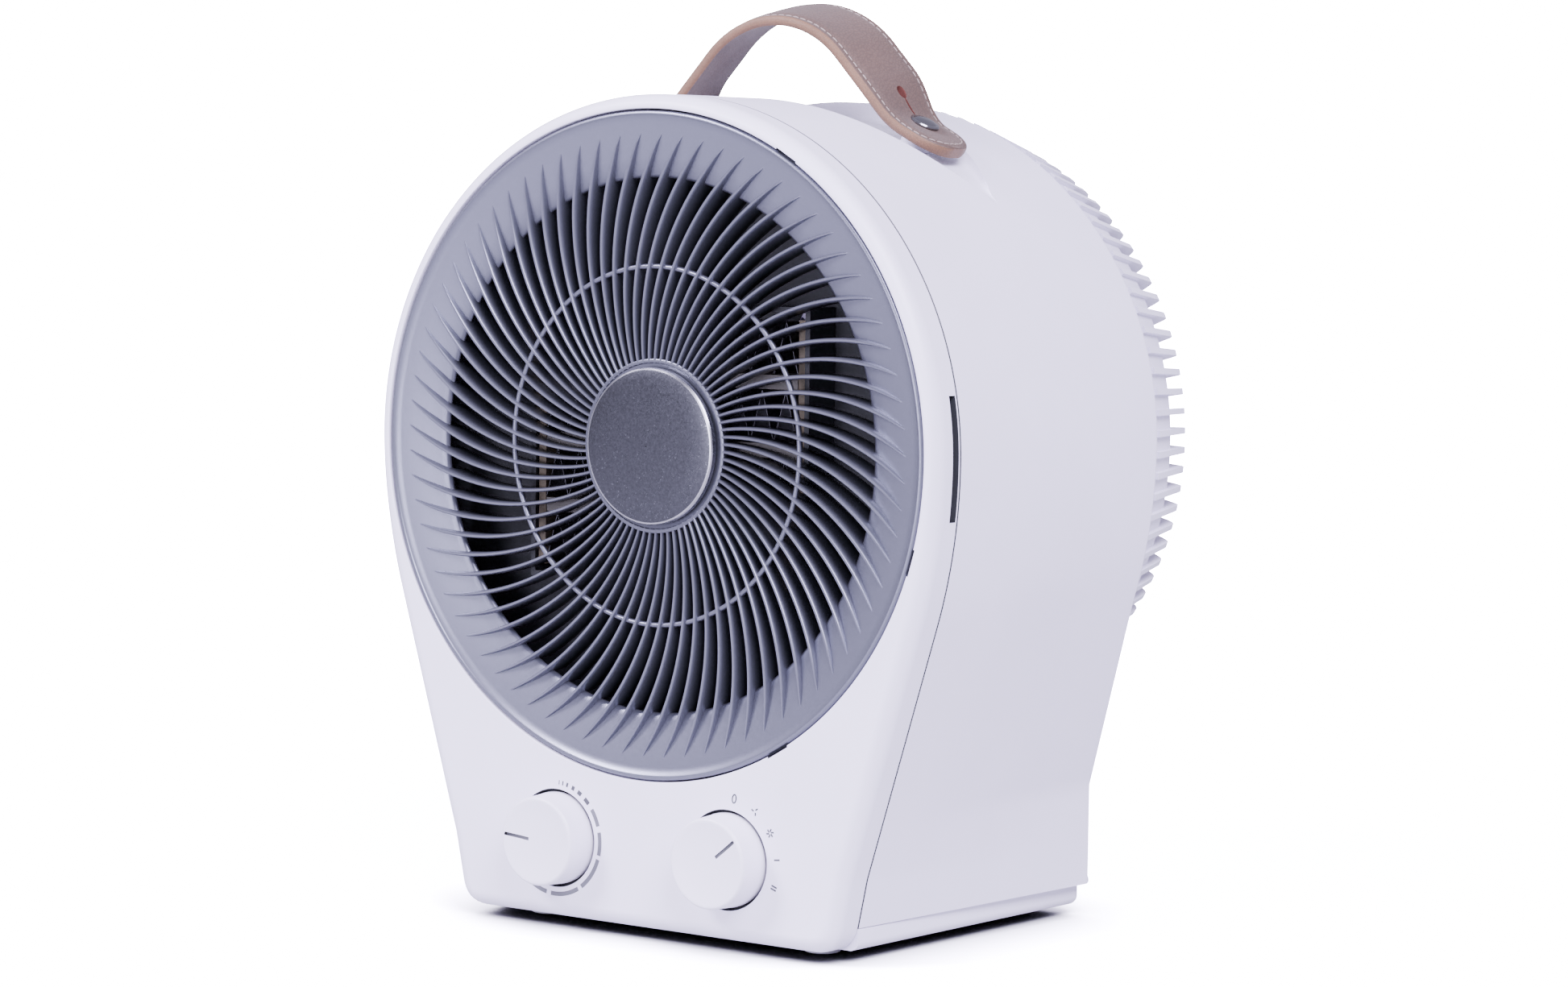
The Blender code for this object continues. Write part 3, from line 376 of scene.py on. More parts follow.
def thread(name, colour):
    """Twisted thread: slanted plies."""
    material, nodes, links, shader, place = new_material(name)
    ply = nodes.new("ShaderNodeTexWave")
    ply.wave_type = "BANDS"
    ply.bands_direction = "DIAGONAL"
    ply.inputs["Scale"].default_value = 900.0
    ply.inputs["Distortion"].default_value = 1.5
    links.new(place.outputs["Object"], ply.inputs["Vector"])
    tint = ramp_node(nodes, links, ply.outputs["Fac"], shade(colour, 0.82), shade(colour, 1.08))
    links.new(tint.outputs["Color"], shader.inputs["Base Color"])
    relief = bump_node(nodes, links, ply.outputs["Fac"], 0.5, 0.00008)
    links.new(relief.outputs["Normal"], shader.inputs["Normal"])
    shader.inputs["Roughness"].default_value = 0.75
    return material


def paint_depth_shade(material, near, far, share):
    """Multiply a finish by a ramp along the fan axis: painted shade that darkens the deeper faces of the grille.
    """
    nodes, links = material.node_tree.nodes, material.node_tree.links
    shader = nodes["Principled BSDF"]
    source = shader.inputs["Base Color"].links[0].from_socket
    place = next(node for node in nodes if node.bl_idname == "ShaderNodeTexCoord")
    split = nodes.new("ShaderNodeSeparateXYZ")
    links.new(place.outputs["Object"], split.inputs["Vector"])
    span = span_node(nodes, links, split.outputs["Y"], near, far, 1.0, share)
    mix = nodes.new("ShaderNodeVectorMath")
    mix.operation = "SCALE"
    links.new(source, mix.inputs[0])
    links.new(span.outputs["Result"], mix.inputs["Scale"])
    links.new(mix.outputs["Vector"], shader.inputs["Base Color"])


WHITE = moulded("white_moulding", (0.78, 0.75, 0.88), 0.42)
WHITE_KNOB = moulded("knob_moulding", (0.79, 0.76, 0.88), 0.36, grain=1800.0)
GREY = moulded("grille_moulding", (0.155, 0.160, 0.200), 0.34, grain=2200.0, metallic=0.75)
# Dark moulding for dark frame pieces; also painted shade on the joint faces at the split and on the walls of the
# cover's wells, slots and notches.
DARK = moulded("black_moulding_and_painted_shade", (0.030, 0.031, 0.036), 0.55, spread=0.15)
FAN_PLASTIC = moulded("fan_moulding", (0.060, 0.062, 0.072), 0.45, spread=0.1)
SILVER = sparkle_lacquer("sparkling_silver", (0.058, 0.059, 0.069))
BRIGHT = brushed("bright_rim", (0.36, 0.36, 0.39), 0.26, (1, 1, 1))
CHROME = moulded("stud_chrome", (0.26, 0.26, 0.28), 0.14, grain=420.0, grain_depth=0.0004, metallic=1.0)
STEEL = brushed("zinc_steel", (0.42, 0.42, 0.43), 0.38)
ALLOY = brushed("folded_aluminium", (0.20, 0.20, 0.22), 0.40, (1, 20, 1))
BRASS = brushed("turned_brass", (0.62, 0.45, 0.18), 0.34)
CERAMIC = moulded("fired_ceramic", (0.18, 0.17, 0.16), 0.75, grain=1200.0, grain_depth=0.0001)
MICA = moulded("mica_board", (0.16, 0.13, 0.09), 0.6, grain=500.0, grain_depth=0.0001, spread=0.12)
RUBBER = moulded("pale_rubber", (0.50, 0.50, 0.53), 0.8, grain=1500.0, grain_depth=0.0001)
TAUPE = leather("taupe_leather", (0.088, 0.049, 0.034))
TAN_EDGE = leather("tan_edge", (0.160, 0.078, 0.036), 0.6, 1400.0, 0.00006)
STITCH = thread("pale_thread", (0.30, 0.24, 0.21))
HOLE_RED = moulded("raw_hole_edge", (0.13, 0.035, 0.025), 0.7)
PRINT = moulded("grey_print", (0.055, 0.055, 0.065), 0.5, grain=3000.0)
# Pale print on the thermostat scale; also painted shade in the knobs' pointer grooves.
PALE_PRINT_AND_GROOVE_SHADE = moulded("pale_print_and_groove_shade", (0.12, 0.12, 0.14), 0.5, grain=3000.0)
# Painted shade: the grille's colour darkens from 4 mm to 11 mm behind the front face.
paint_depth_shade(GREY, FRONT_Y + 4.0 * MM, FRONT_Y + 11.0 * MM, 0.10)


# ---- body outline -------------------------------------------------------------------
def side_line(bottom_z):
    """Right side from the foot up to just below the widest point, evenly divided."""
    end_x = BODY_R - SIDE_R * (1 - math.cos(SIDE_TURN))
    end_z = AXIS_Z - SIDE_R * math.sin(SIDE_TURN)
    slope = math.tan(SIDE_TURN)
    waist_x = end_x - slope * (end_z - WAIST_Z)
    knee_x = waist_x - slope * (WAIST_Z - KNEE_Z)
    foot_x = lerp(BOTTOM_HALF, knee_x, (bottom_z - FOOT_Z) / (KNEE_Z - FOOT_Z))
    points = []
    for (x0, z0), (x1, z1), steps in (((foot_x, bottom_z), (knee_x, KNEE_Z), 8),
                                      ((knee_x, KNEE_Z), (waist_x, WAIST_Z), 5),
                                      ((waist_x, WAIST_Z), (end_x, end_z), 20)):
        for i in range(steps):
            points.append((lerp(x0, x1, i / steps), lerp(z0, z1, i / steps)))
    arc_steps = 14
    for i in range(arc_steps):
        turn = SIDE_TURN * (1 - i / arc_steps)
        points.append((BODY_R - SIDE_R * (1 - math.cos(turn)), AXIS_Z - SIDE_R * math.sin(turn)))
    return points


def outline(bottom_z, corner=0.0):
    """Closed outline of the body, anticlockwise from the right foot."""
    right = side_line(bottom_z)
    if corner:
        foot = Vector(right[0])
        inner = foot + Vector((-corner, 0))
        ahead = Vector(right[4])
        rise = (ahead - foot).normalized() * corner
        outer = foot + rise
        bend = []
        for i in range(9):
            t = i / 8
            bend.append(tuple((1 - t) ** 2 * inner + 2 * t * (1 - t) * foot + t * t * outer))
        right = bend + [p for p in right if p[1] > outer.y + 1 * MM]
    arc_steps = 132
    top = [(BODY_R * math.cos(math.pi * i / arc_steps), AXIS_Z + BODY_R * math.sin(math.pi * i / arc_steps))
           for i in range(arc_steps + 1)]
    left = [(-x, z) for x, z in reversed(right)]
    bottom_steps = 36
    x_end = left[-1][0]
    bottom = [(lerp(x_end, -x_end, i / bottom_steps), bottom_z) for i in range(1, bottom_steps)]
    return np.array(right + top + left + bottom)


def normals_of(points):
    """Outward normals of an anticlockwise outline."""
    step = np.roll(points, -1, 0) - np.roll(points, 1, 0)
    normal = np.stack([step[:, 1], -step[:, 0]], 1)
    return normal / np.linalg.norm(normal, axis=1)[:, None]


def ring_at(points, y):
    return [Vector((x, y, z)) for x, z in points]


def rays_to(points, radius):
    """Points of a circle about the fan axis, in line with each outline point."""
    away = points - np.array([0, AXIS_Z])
    return np.array([0, AXIS_Z]) + radius * away / np.linalg.norm(away, axis=1)[:, None]


# ---- front cover --------------------------------------------------------------------
ROUND_DEPTH = 6.5 * MM
PLATE = 6.5 * MM
WELL_R = 17.7 * MM
WELL_DEPTH = 4.0 * MM
knob_boxes = {side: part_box(name) for side, name in ((-1, "thermostat_knob"), (1, "selector_knob"))}
KNOB_AT = {side: ((low.x + high.x) / 2, (low.z + high.z) / 2) for side, (low, high) in knob_boxes.items()}
NOTCH_ANGLES = (30.5, 106.6, 149.8)
NOTCH = (9.5 * MM, 3.5 * MM, 1.7 * MM)
SIDE_SLOT = (14 * MM, 3.7 * MM, 43 * MM)


def front_cover():
    line = outline(FOOT_Z, corner=9 * MM)
    out = normals_of(line)
    reach = np.linalg.norm(line - np.array([0, AXIS_Z]), axis=1)
    soft = np.clip(reach - OPEN_R - 0.9 * MM, 0, 6.0 * MM)
    for _ in range(6):
        soft = (np.roll(soft, 1) + soft + np.roll(soft, -1)) / 3
    edge = 0.3 * MM
    rows = [ring_at(line - out * edge, SPLIT_Y), ring_at(line, SPLIT_Y - edge)]
    steps = 10
    for i in range(steps + 1):
        turn = math.pi / 2 * i / steps
        inset = line - out * (soft * (1 - math.cos(turn)))[:, None]
        rows.append(ring_at(inset, FRONT_Y + ROUND_DEPTH * (1 - math.sin(turn))))
    for radius, depth in ((OPEN_R + 0.5 * MM, 0), (OPEN_R + 0.15 * MM, 0.15 * MM), (OPEN_R, 0.5 * MM),
                          (OPEN_R, 11.5 * MM), (OPEN_R + 1.2 * MM, 11.5 * MM), (OPEN_R + 1.2 * MM, PLATE)):
        rows.append(ring_at(rays_to(line, radius), FRONT_Y + depth))
    rows.append(ring_at(line - out * WALL, FRONT_Y + PLATE))
    rows.append(ring_at(line - out * WALL, SPLIT_Y))
    pile = Pile()
    pile.rows(rows, close_rows=True)
    # Painted shade: the cover's joint face at the split takes the dark moulding, standing in for the shade in
    # the gap.
    pile.looks[-len(line):] = [1] * len(line)
    cover = pile.build("front_cover_moulding", [WHITE, DARK])
    cutters = []
    # Painted shade: the wells, side slots and notches are cut with the dark moulding, so their walls read as
    # shade.
    for side, (x, z) in KNOB_AT.items():
        profile = [(WELL_R + 1.2 * MM, -1.0 * MM), (WELL_R + 0.2 * MM, 0.0), (WELL_R, 0.2 * MM),
                   (WELL_R, WELL_DEPTH)]
        cutters.append(rod("well", profile, (x, FRONT_Y, z), Y_AXIS, 96, DARK))
        cutters.append(rod("shaft_hole", [(3.8 * MM, 0), (3.8 * MM, 12 * MM)], (x, FRONT_Y, z), Y_AXIS, 32,
                           WHITE))
        cutters.append(block("side_slot", SIDE_SLOT,
                             (side * BODY_R, SPLIT_Y - 2.8 * MM, AXIS_Z + 0.9 * MM), material=DARK))
    for angle in NOTCH_ANGLES:
        turn = Matrix.Rotation(math.radians(angle), 4, "Y")
        place = CENTRE + turn @ Vector((0, 0, OPEN_R - 0.2 * MM)) + Vector((0, FRONT_Y + 1.0 * MM, 0))
        cutters.append(block("notch", NOTCH, place, turn, DARK))
    cut_out(cover, cutters)
    weighted(cover)
    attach(cover, "housing")
    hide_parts("front_cover")
    return cover


# ---- body shell ---------------------------------------------------------------------
RECESS_TURN = math.radians(44.0)
RECESS_HALF = 29 * MM
RECESS_DEEP = 6.5 * MM
REAR_OPEN_R = 112 * MM
REAR_FLARE = 3.9 * MM
SIDE_END_Z = AXIS_Z - SIDE_R * math.sin(SIDE_TURN)


def recess_half(turn):
    """Half width of the handle recess at an angle from the top."""
    share = min(abs(turn) / RECESS_TURN, 1.0)
    return max(RECESS_HALF * (1 - share ** 2) ** 0.85, 1.5 * MM)


def recess_depth(turn, across):
    """Depth of the recess; across runs from -1 at its front edge to 1 at its rear edge."""
    share = min(abs(turn) / RECESS_TURN, 1.0)
    along = (1 - share ** 2) ** 0.75
    shape = 1 - abs(across) ** (1.8 if across < 0 else 14)
    return RECESS_DEEP * along * shape


def shell_row(line, out, y_of, across, inset):
    """One ring of the shell; the sides stand upright towards the rear below the waist."""
    row = []
    for (x, z), (nx, nz) in zip(line, out):
        turn = math.atan2(x, z - AXIS_Z)
        y = y_of(turn)
        t = (y - SHELL_Y) / (BACK_Y - SHELL_Y)
        depth = inset
        if across is not None and abs(turn) < RECESS_TURN:
            depth += recess_depth(turn, across)
        flare = 0.0
        if z < SIDE_END_Z and abs(x) > 1 * MM:
            wide = side_x(max(z, WAIST_Z)) + REAR_FLARE * min((SIDE_END_Z - z) / (SIDE_END_Z - WAIST_Z), 1.0)
            flare = (wide - side_x(z)) * t * x / side_x(z)
        row.append(Vector((x + flare - nx * depth, y, z - nz * depth)))
    return row


def side_x(z):
    """Half width of the body at a height below the waist."""
    slope = math.tan(SIDE_TURN)
    end_x = BODY_R - SIDE_R * (1 - math.cos(SIDE_TURN))
    end_z = AXIS_Z - SIDE_R * math.sin(SIDE_TURN)
    if z >= KNEE_Z:
        return end_x - slope * (end_z - z)
    knee_x = end_x - slope * (end_z - KNEE_Z)
    return lerp(BOTTOM_HALF, knee_x, (z - FOOT_Z) / (KNEE_Z - FOOT_Z))


def body_shell():
    line = outline(SEAM_Z)
    out = normals_of(line)
    edge = 0.3 * MM
    back_round = 2.4 * MM
    last_y = BACK_Y - back_round

    def front_part(share):
        return lambda turn: lerp(SHELL_Y + edge, STRAP_Y - recess_half(turn), share)

    def hollow_part(share):
        return lambda turn: STRAP_Y + recess_half(turn) * share

    def rear_part(share):
        return lambda turn: lerp(STRAP_Y + recess_half(turn), last_y, share)

    outer = [shell_row(line, out, lambda turn: SHELL_Y, None, edge)]
    for i in range(9):
        outer.append(shell_row(line, out, front_part(i / 9), None, 0.0))
    across_steps = 22
    for i in range(across_steps + 1):
        across = -math.cos(math.pi * i / across_steps)
        outer.append(shell_row(line, out, hollow_part(across), across, 0.0))
    for i in range(1, 10):
        outer.append(shell_row(line, out, rear_part(i / 9), None, 0.0))
    for i in range(1, 7):
        turn = math.pi / 2 * i / 6
        y = last_y + back_round * math.sin(turn)
        outer.append(shell_row(line, out, lambda _, y=y: y, None, back_round * (1 - math.cos(turn))))
    rows = outer
    flat = np.array([(p.x, p.z) for p in outer[-1]])
    for radius, y in ((REAR_OPEN_R, BACK_Y), (REAR_OPEN_R, BACK_Y - WALL)):
        rows.append(ring_at(rays_to(flat, radius), y))
    rows.append(shell_row(line, out, lambda turn: BACK_Y - WALL, None, WALL))
    for share in (1.0, 0.5):
        rows.append(shell_row(line, out, rear_part(share), None, WALL))
    for i in range(8, -1, -1):
        across = -math.cos(math.pi * i / 8)
        rows.append(shell_row(line, out, hollow_part(across), across, WALL))
    rows.append(shell_row(line, out, lambda turn: SHELL_Y, None, WALL))
    pile = Pile()
    pile.rows(rows, close_rows=True)
    # Painted shade: the shell's front end face and edge chamfer at the split take the dark moulding, standing in
    # for the shade in the gap.
    pile.looks[-len(line):] = [1] * len(line)
    pile.looks[:len(line)] = [1] * len(line)
    shell = pile.build("body_shell_moulding", [WHITE, DARK], sharp=28)
    cutters = []
    for index in range(3):
        x, _, z = middle_of("rear_screw_%d" % (index + 1))
        cutters.append(rod("screw_hole", [(2.2 * MM, -6 * MM), (2.2 * MM, 4 * MM)], (x, BACK_Y, z), Y_AXIS,
                           32))
    x, _, z = middle_of("cord_gland")
    cutters.append(rod("gland_hole", [(6.3 * MM, -6 * MM), (6.3 * MM, 4 * MM)], (x, BACK_Y, z), Y_AXIS, 48))
    cut_out(shell, cutters)
    weighted(shell)
    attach(shell, "housing")
    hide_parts("body_shell")
    return shell


# ---- base ---------------------------------------------------------------------------
FEET = ("foot_front_left", "foot_front_right", "foot_rear_left", "foot_rear_right")


def base_plate():
    """Foot tray: rounded lower edge, rounded rear corners, screw and foot pockets."""
    top = base_high.z
    front, back = base_low.y, BACK_Y
    near, far = side_x(SEAM_Z), base_high.x + 0.4 * MM
    corner = 3.0 * MM

    def plan(shrink):
        """Outline seen from above, anticlockwise from the front left."""
        points = [(-near + shrink, front), (near - shrink, front)]
        centre_x, centre_y = far - corner, back - corner
        radius = max(corner - shrink, 0.3 * MM)
        arc = [(centre_x + radius * math.cos(a), centre_y + radius * math.sin(a))
               for a in np.linspace(0, math.pi / 2, 8)]
        points += arc + [(-x, y) for x, y in reversed(arc)]
        return points

    pile = Pile()
    rows = []
    depth = 3.4 * MM
    for i in range(9):
        turn = math.pi / 2 * i / 8
        shrink = depth * (1 - math.sin(turn))
        rows.append([Vector((x, y, FOOT_Z + depth * (1 - math.cos(turn)))) for x, y in plan(shrink)])
    rows.append([Vector((x, y, top - 0.2 * MM)) for x, y in plan(0)])
    rows.append([Vector((x, y, top)) for x, y in plan(0.2 * MM)])
    pile.rows(rows, caps=True)
    base = pile.build("base_moulding", WHITE)
    cutters = [block("tray", (122 * MM, 118 * MM, 12 * MM), (0, (front + back) / 2, FOOT_Z + 9.2 * MM))]
    for index in range(4):
        x, y, _ = middle_of("base_screw_%d" % (index + 1))
        place = (x, y, 0)
        cutters.append(rod("pocket", [(4.6 * MM, 0), (4.0 * MM, FOOT_Z + 0.5 * MM), (4.0 * MM, 7 * MM)],
                           place, Z_AXIS, 40))
        cutters.append(rod("bore", [(2.0 * MM, 0), (2.0 * MM, 20 * MM)], place, Z_AXIS, 24))
    x, y, _ = middle_of("tilt_plunger")
    cutters.append(rod("plunger_hole", [(4.3 * MM, 0), (4.3 * MM, 20 * MM)], (x, y, 0), Z_AXIS, 40))
    for name in FEET:
        x, y, _ = middle_of(name)
        cutters.append(rod("socket", [(3.7 * MM, 0), (3.7 * MM, 20 * MM)], (x, y, 0), Z_AXIS, 32))
    for row in range(5):
        for side in (-1, 1):
            cutters.append(block("vent", (34 * MM, 3.2 * MM, 8 * MM),
                                 (side * 32 * MM, front + (58 + row * 9) * MM, FOOT_Z)))
    cut_out(base, cutters)
    weighted(base)
    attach(base, "housing")
    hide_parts("base_plate")


def feet():
    for name in FEET:
        low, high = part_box(name)
        x, y, _ = middle_of(name)
        radius = (high.x - low.x) / 2
        profile = [(radius - 1.6 * MM, 0.0), (radius - 0.7 * MM, 0.25 * MM), (radius, 1.1 * MM),
                   (radius, 3.0 * MM), (radius - 0.4 * MM, 3.7 * MM), (3.3 * MM, 3.7 * MM), (3.3 * MM,
                                                                                             9 * MM)]
        profile = [(radius - 3 * MM, 0.3 * MM), (radius - 2.4 * MM, 0.0)] + profile
        foot = rod(name + "_pad", profile, (x, y, 0), Z_AXIS, 48, RUBBER)
        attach(foot, "housing")
        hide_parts(name)


# ---- front grille -------------------------------------------------------------------
FIN_COUNT = 75
HUB_R = 30.5 * MM
MID_R = 63.7 * MM
MOUTH_R = 95.0 * MM
TIP_R = 113.5 * MM


def fin_turn(radius):
    """Clockwise sweep of a fin from the hub out to a radius."""
    run = (radius - HUB_R) / MM
    degrees = 0.24 * run + 0.0005 * run ** 2 - 0.48 * (1 - math.exp(-run / 6))
    return math.radians(degrees)


def fin_front(radius):
    """Depth of a fin's front edge behind the front face."""
    share = (radius - HUB_R) / (GRILLE_R - HUB_R)
    return lerp(6.0, 1.3, share) * MM


MOUTH = ((118.5, 0.9), (117.9, 0.35), (117.2, 0.35), (116.8, 0.9), (114, 1.4), (108, 2.7), (102, 4.1),
         (98, 5.1), (96.2, 5.6), (95.3, 6.2), (95.0, 7.0))
MOUTH_BACK = ((95.6, 7.9), (97.5, 7.7), (102, 6.4), (108, 5.0), (114, 3.7), (116.6, 3.4), (116.6, 9.5),
              (118.5, 9.5))


def mouth_depth(radius):
    """Depth of the bell mouth's face at a radius."""
    radii = [r * MM for r, _ in reversed(MOUTH)]
    depths = [d * MM for _, d in reversed(MOUTH)]
    return float(np.interp(radius, radii, depths))


def swept_fin(pile, start):
    """One fin: thin rounded front edge, thicker and deeper behind, running out into the mouth."""
    rows = []
    stations = 26
    for i in range(stations + 1):
        share = i / stations
        radius = lerp(HUB_R - 1.0 * MM, TIP_R, share)
        angle = start + fin_turn(max(radius, HUB_R))
        out = Vector((math.sin(angle), 0, math.cos(angle)))
        slope = radius * (fin_turn(radius + 0.5 * MM) - fin_turn(radius)) / (0.5 * MM) if radius > HUB_R else 0.1
        tangent = Vector((math.cos(angle), 0, -math.sin(angle)))
        across = (tangent - out * slope).normalized()
        front = fin_front(radius)
        if radius > MOUTH_R + 2 * MM:
            floor = mouth_depth(radius) + 1.5 * MM
        else:
            floor = front + lerp(5.5, 10.5, ease((radius - HUB_R) / (MOUTH_R - HUB_R))) * MM
        depth = max(floor - front, 0.5 * MM)
        taper = 1.0 if share < 0.84 else lerp(1.0, 0.35, (share - 0.84) / 0.16)
        narrow = lerp(0.55, 0.62, share) * MM * taper
        wide = lerp(0.70, 0.85, share) * MM * taper
        base = CENTRE + out * radius + Vector((0, FRONT_Y + front, 0))
        sink = 0.0
        if radius > TIP_R - 6 * MM:
            sink = 1.1 * MM * ((radius - TIP_R + 6 * MM) / (6 * MM)) ** 1.5
        shape = ((-narrow * 0.55, sink), (narrow * 0.55, sink), (narrow, sink + 0.35 * MM),
                 (wide, sink + 1.6 * MM), (wide, depth), (-wide, depth), (-wide, sink + 1.6 * MM),
                 (-narrow, sink + 0.35 * MM))
        rows.append([base + across * u + Y_AXIS * max(v, sink) for u, v in shape])
    pile.rows(rows, caps=True)


def front_grille():
    pile = Pile()
    front = [(r * MM, d * MM) for r, d in MOUTH]
    back = [(r * MM, d * MM) for r, d in MOUTH_BACK]
    pile.rows(turned_rows(front + back, (0, FRONT_Y, AXIS_Z), Y_AXIS, 300), close_rows=True)
    for index in range(FIN_COUNT):
        swept_fin(pile, 2 * math.pi * index / FIN_COUNT)
    ring_y = fin_front(MID_R) + 0.9 * MM
    ring = [(MID_R + 0.95 * MM * math.cos(a), ring_y + 1.1 * MM + 1.1 * MM * math.sin(a))
            for a in np.linspace(0, 2 * math.pi, 12, endpoint=False)]
    pile.rows(turned_rows(ring, (0, FRONT_Y, AXIS_Z), Y_AXIS, 240), close_rows=True)
    top = fin_front(HUB_R)
    hub = [(HUB_R + 0.6 * MM, top + 1.2 * MM), (HUB_R + 0.45 * MM, top + 0.2 * MM), (HUB_R, top),
           (HUB_R - 0.8 * MM, top), (HUB_R - 1.1 * MM, top + 0.5 * MM), (27 * MM, top + 0.7 * MM),
           (22 * MM, top + 0.7 * MM), (22 * MM, top + 6 * MM), (HUB_R + 0.6 * MM, top + 6 * MM)]
    pile.rows(turned_rows(hub, (0, FRONT_Y, AXIS_Z), Y_AXIS, 150), close_rows=True)
    grille = pile.build("front_grille_moulding", GREY, sharp=50)
    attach(grille, "housing")
    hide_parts("front_grille")


def grille_badge():
    low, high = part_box("grille_badge")
    radius = high.x
    face = low.y
    pile = Pile()
    profile = [(0.2 * MM, face), (radius * 0.45, face + 0.10 * MM), (radius * 0.7, face + 0.35 * MM),
               (radius * 0.86, face + 0.75 * MM), (radius - 1.7 * MM, face + 1.15 * MM),
               (radius - 0.9 * MM, face + 1.35 * MM)]
    pile.rows(turned_rows(profile, (0, 0, AXIS_Z), Y_AXIS, 128), look=0)
    rim = [(radius - 0.9 * MM, face + 1.35 * MM), (radius - 0.35 * MM, face + 1.5 * MM),
           (radius, face + 2.0 * MM), (radius, high.y - 4.2 * MM), (20 * MM, high.y - 4.2 * MM)]
    pile.rows(turned_rows(rim, (0, 0, AXIS_Z), Y_AXIS, 128), look=1)
    badge = pile.build("grille_badge_disc", [SILVER, BRIGHT], sharp=30)
    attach(badge, "housing")
    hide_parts("grille_badge")


# ---- rear grille --------------------------------------------------------------------
REAR_BLADES = 100
REAR_INNER = 50
REAR_MID_R = 74 * MM
REAR_HUB_R = 32 * MM


def rear_blade(pile, angle, outline_points, half):
    """A flat blade standing along a radius, given as (radius, y) points."""
    turn = Matrix.Rotation(angle, 3, "Y")
    rows = []
    for side in (-1, 1):
        ring = [CENTRE + turn @ Vector((side * half, y, r)) for r, y in outline_points]
        rows.append(ring)
    pile.rows(rows, caps=True)


def rear_grille():
    start, end = BACK_Y + 0.3 * MM, rear_high.y
    inside = end - 8.0 * MM
    pile = Pile()
    wall = [(122.6, 0.0), (118.0, 18.6), (117.4, 19.6), (116.2, 19.8), (115.3, 19.0), (119.8, 1.8),
            (109.0, 1.8), (109.0, -6.0), (111.0, -6.0), (111.0, 0.0)]
    wall = [(r * MM, start + y * MM) for r, y in wall]
    pile.rows(turned_rows(wall, CENTRE, Y_AXIS, 240), close_rows=True)
    outer = [(REAR_MID_R - 0.5 * MM, inside), (112.0 * MM, inside - 0.6 * MM),
             (116.6 * MM, start + 18.5 * MM),
             (121.4 * MM, start + 0.8 * MM), (124.2 * MM, start + 0.6 * MM), (116.9 * MM, end - 3.4 * MM),
             (116.1 * MM, end - 1.5 * MM), (114.6 * MM, end - 0.35 * MM), (112.4 * MM, end - 0.05 * MM),
             (96 * MM, end - 0.1 * MM), (REAR_MID_R - 0.5 * MM, end - 0.6 * MM)]
    for index in range(REAR_BLADES):
        rear_blade(pile, 2 * math.pi * (index + 0.5) / REAR_BLADES, outer, 1.15 * MM)
    inner = [(REAR_HUB_R - 1 * MM, inside), (REAR_MID_R, inside), (REAR_MID_R, end - 0.9 * MM),
             (REAR_HUB_R - 1 * MM, end - 1.6 * MM)]
    for index in range(REAR_INNER):
        rear_blade(pile, 2 * math.pi * (index + 0.5) / REAR_INNER, inner, 0.9 * MM)
    for radius, half in ((REAR_MID_R, 1.3 * MM), (96 * MM, 0.9 * MM), (53 * MM, 0.9 * MM)):
        top = end - (0.5 if radius == REAR_MID_R else 2.6) * MM
        ring = [(radius + half, top - 0.4 * MM), (radius + half * 0.6, top), (radius - half * 0.6, top),
                (radius - half, top - 0.4 * MM), (radius - half, inside), (radius + half, inside)]
        pile.rows(turned_rows(ring, CENTRE, Y_AXIS, 180), close_rows=True)
    dome = [(REAR_HUB_R, inside), (REAR_HUB_R, end - 2.2 * MM), (REAR_HUB_R - 0.8 * MM, end - 1.3 * MM),
            (REAR_HUB_R - 3 * MM, end - 1.1 * MM), (REAR_HUB_R - 4 * MM, end - 1.9 * MM), (12 * MM,
                                                                                           end - 2.4 * MM),
            (0.3 * MM, end - 2.5 * MM), (0.3 * MM, inside)]
    pile.rows(turned_rows(dome, CENTRE, Y_AXIS, 96), close_rows=True)
    grille = pile.build("rear_grille_moulding", WHITE, sharp=40)
    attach(grille, "housing")
    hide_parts("rear_grille")


# ---- knobs and printed marks --------------------------------------------------------
POINTER = {-1: math.radians(-84.0), 1: math.radians(52.0)}


def knob(side, node, body):
    low, high = knob_boxes[side]
    x, z = KNOB_AT[side]
    radius = (high.x - low.x) / 2
    face, back = low.y, FRONT_Y + 2.0 * MM
    profile = [(3.2 * MM, back), (radius, back), (radius, back - 2.2 * MM),
               (radius - 0.15 * MM, FRONT_Y - 2 * MM),
               (radius - 0.55 * MM, face + 1.3 * MM)]
    fillet = 1.1 * MM
    for i in range(1, 8):
        a = math.pi / 2 * i / 7
        profile.append((radius - 0.55 * MM - fillet * (1 - math.cos(a)),
                        face + 1.3 * MM - 1.25 * MM * math.sin(a)))
    profile += [(radius - 2.4 * MM, face + 0.12 * MM), (radius * 0.75, face + 0.45 * MM),
                (radius * 0.5, face + 0.75 * MM), (radius * 0.25, face + 0.92 * MM), (0.15 * MM,
                                                                                      face + 0.98 * MM)]
    body_piece = rod(node + "_cap", profile, (x, 0, z), Y_AXIS, 128, WHITE_KNOB)
    turn = Matrix.Rotation(POINTER[side], 4, "Y")
    middle = Vector((x, face + 0.3 * MM, z)) + turn @ Vector((0, 0, 9.4 * MM))
    # Painted shade: the pointer groove is cut with the pale print colour to darken it.
    groove = block("groove", (1.2 * MM, 2.2 * MM, 10.6 * MM), middle, turn, PALE_PRINT_AND_GROOVE_SHADE)
    dot_place = Vector((x, face - 1 * MM, z)) + turn @ Vector((0, 0, 14.3 * MM))
    dot = rod("dot", [(0.55 * MM, 0), (0.55 * MM, 2.4 * MM)], dot_place, Y_AXIS, 24, DARK)
    body_piece.data.materials.append(DARK)
    body_piece.data.materials.append(PALE_PRINT_AND_GROOVE_SHADE)
    cut_out(body_piece, [groove, dot])
    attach(body_piece, body)
    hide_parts(node)


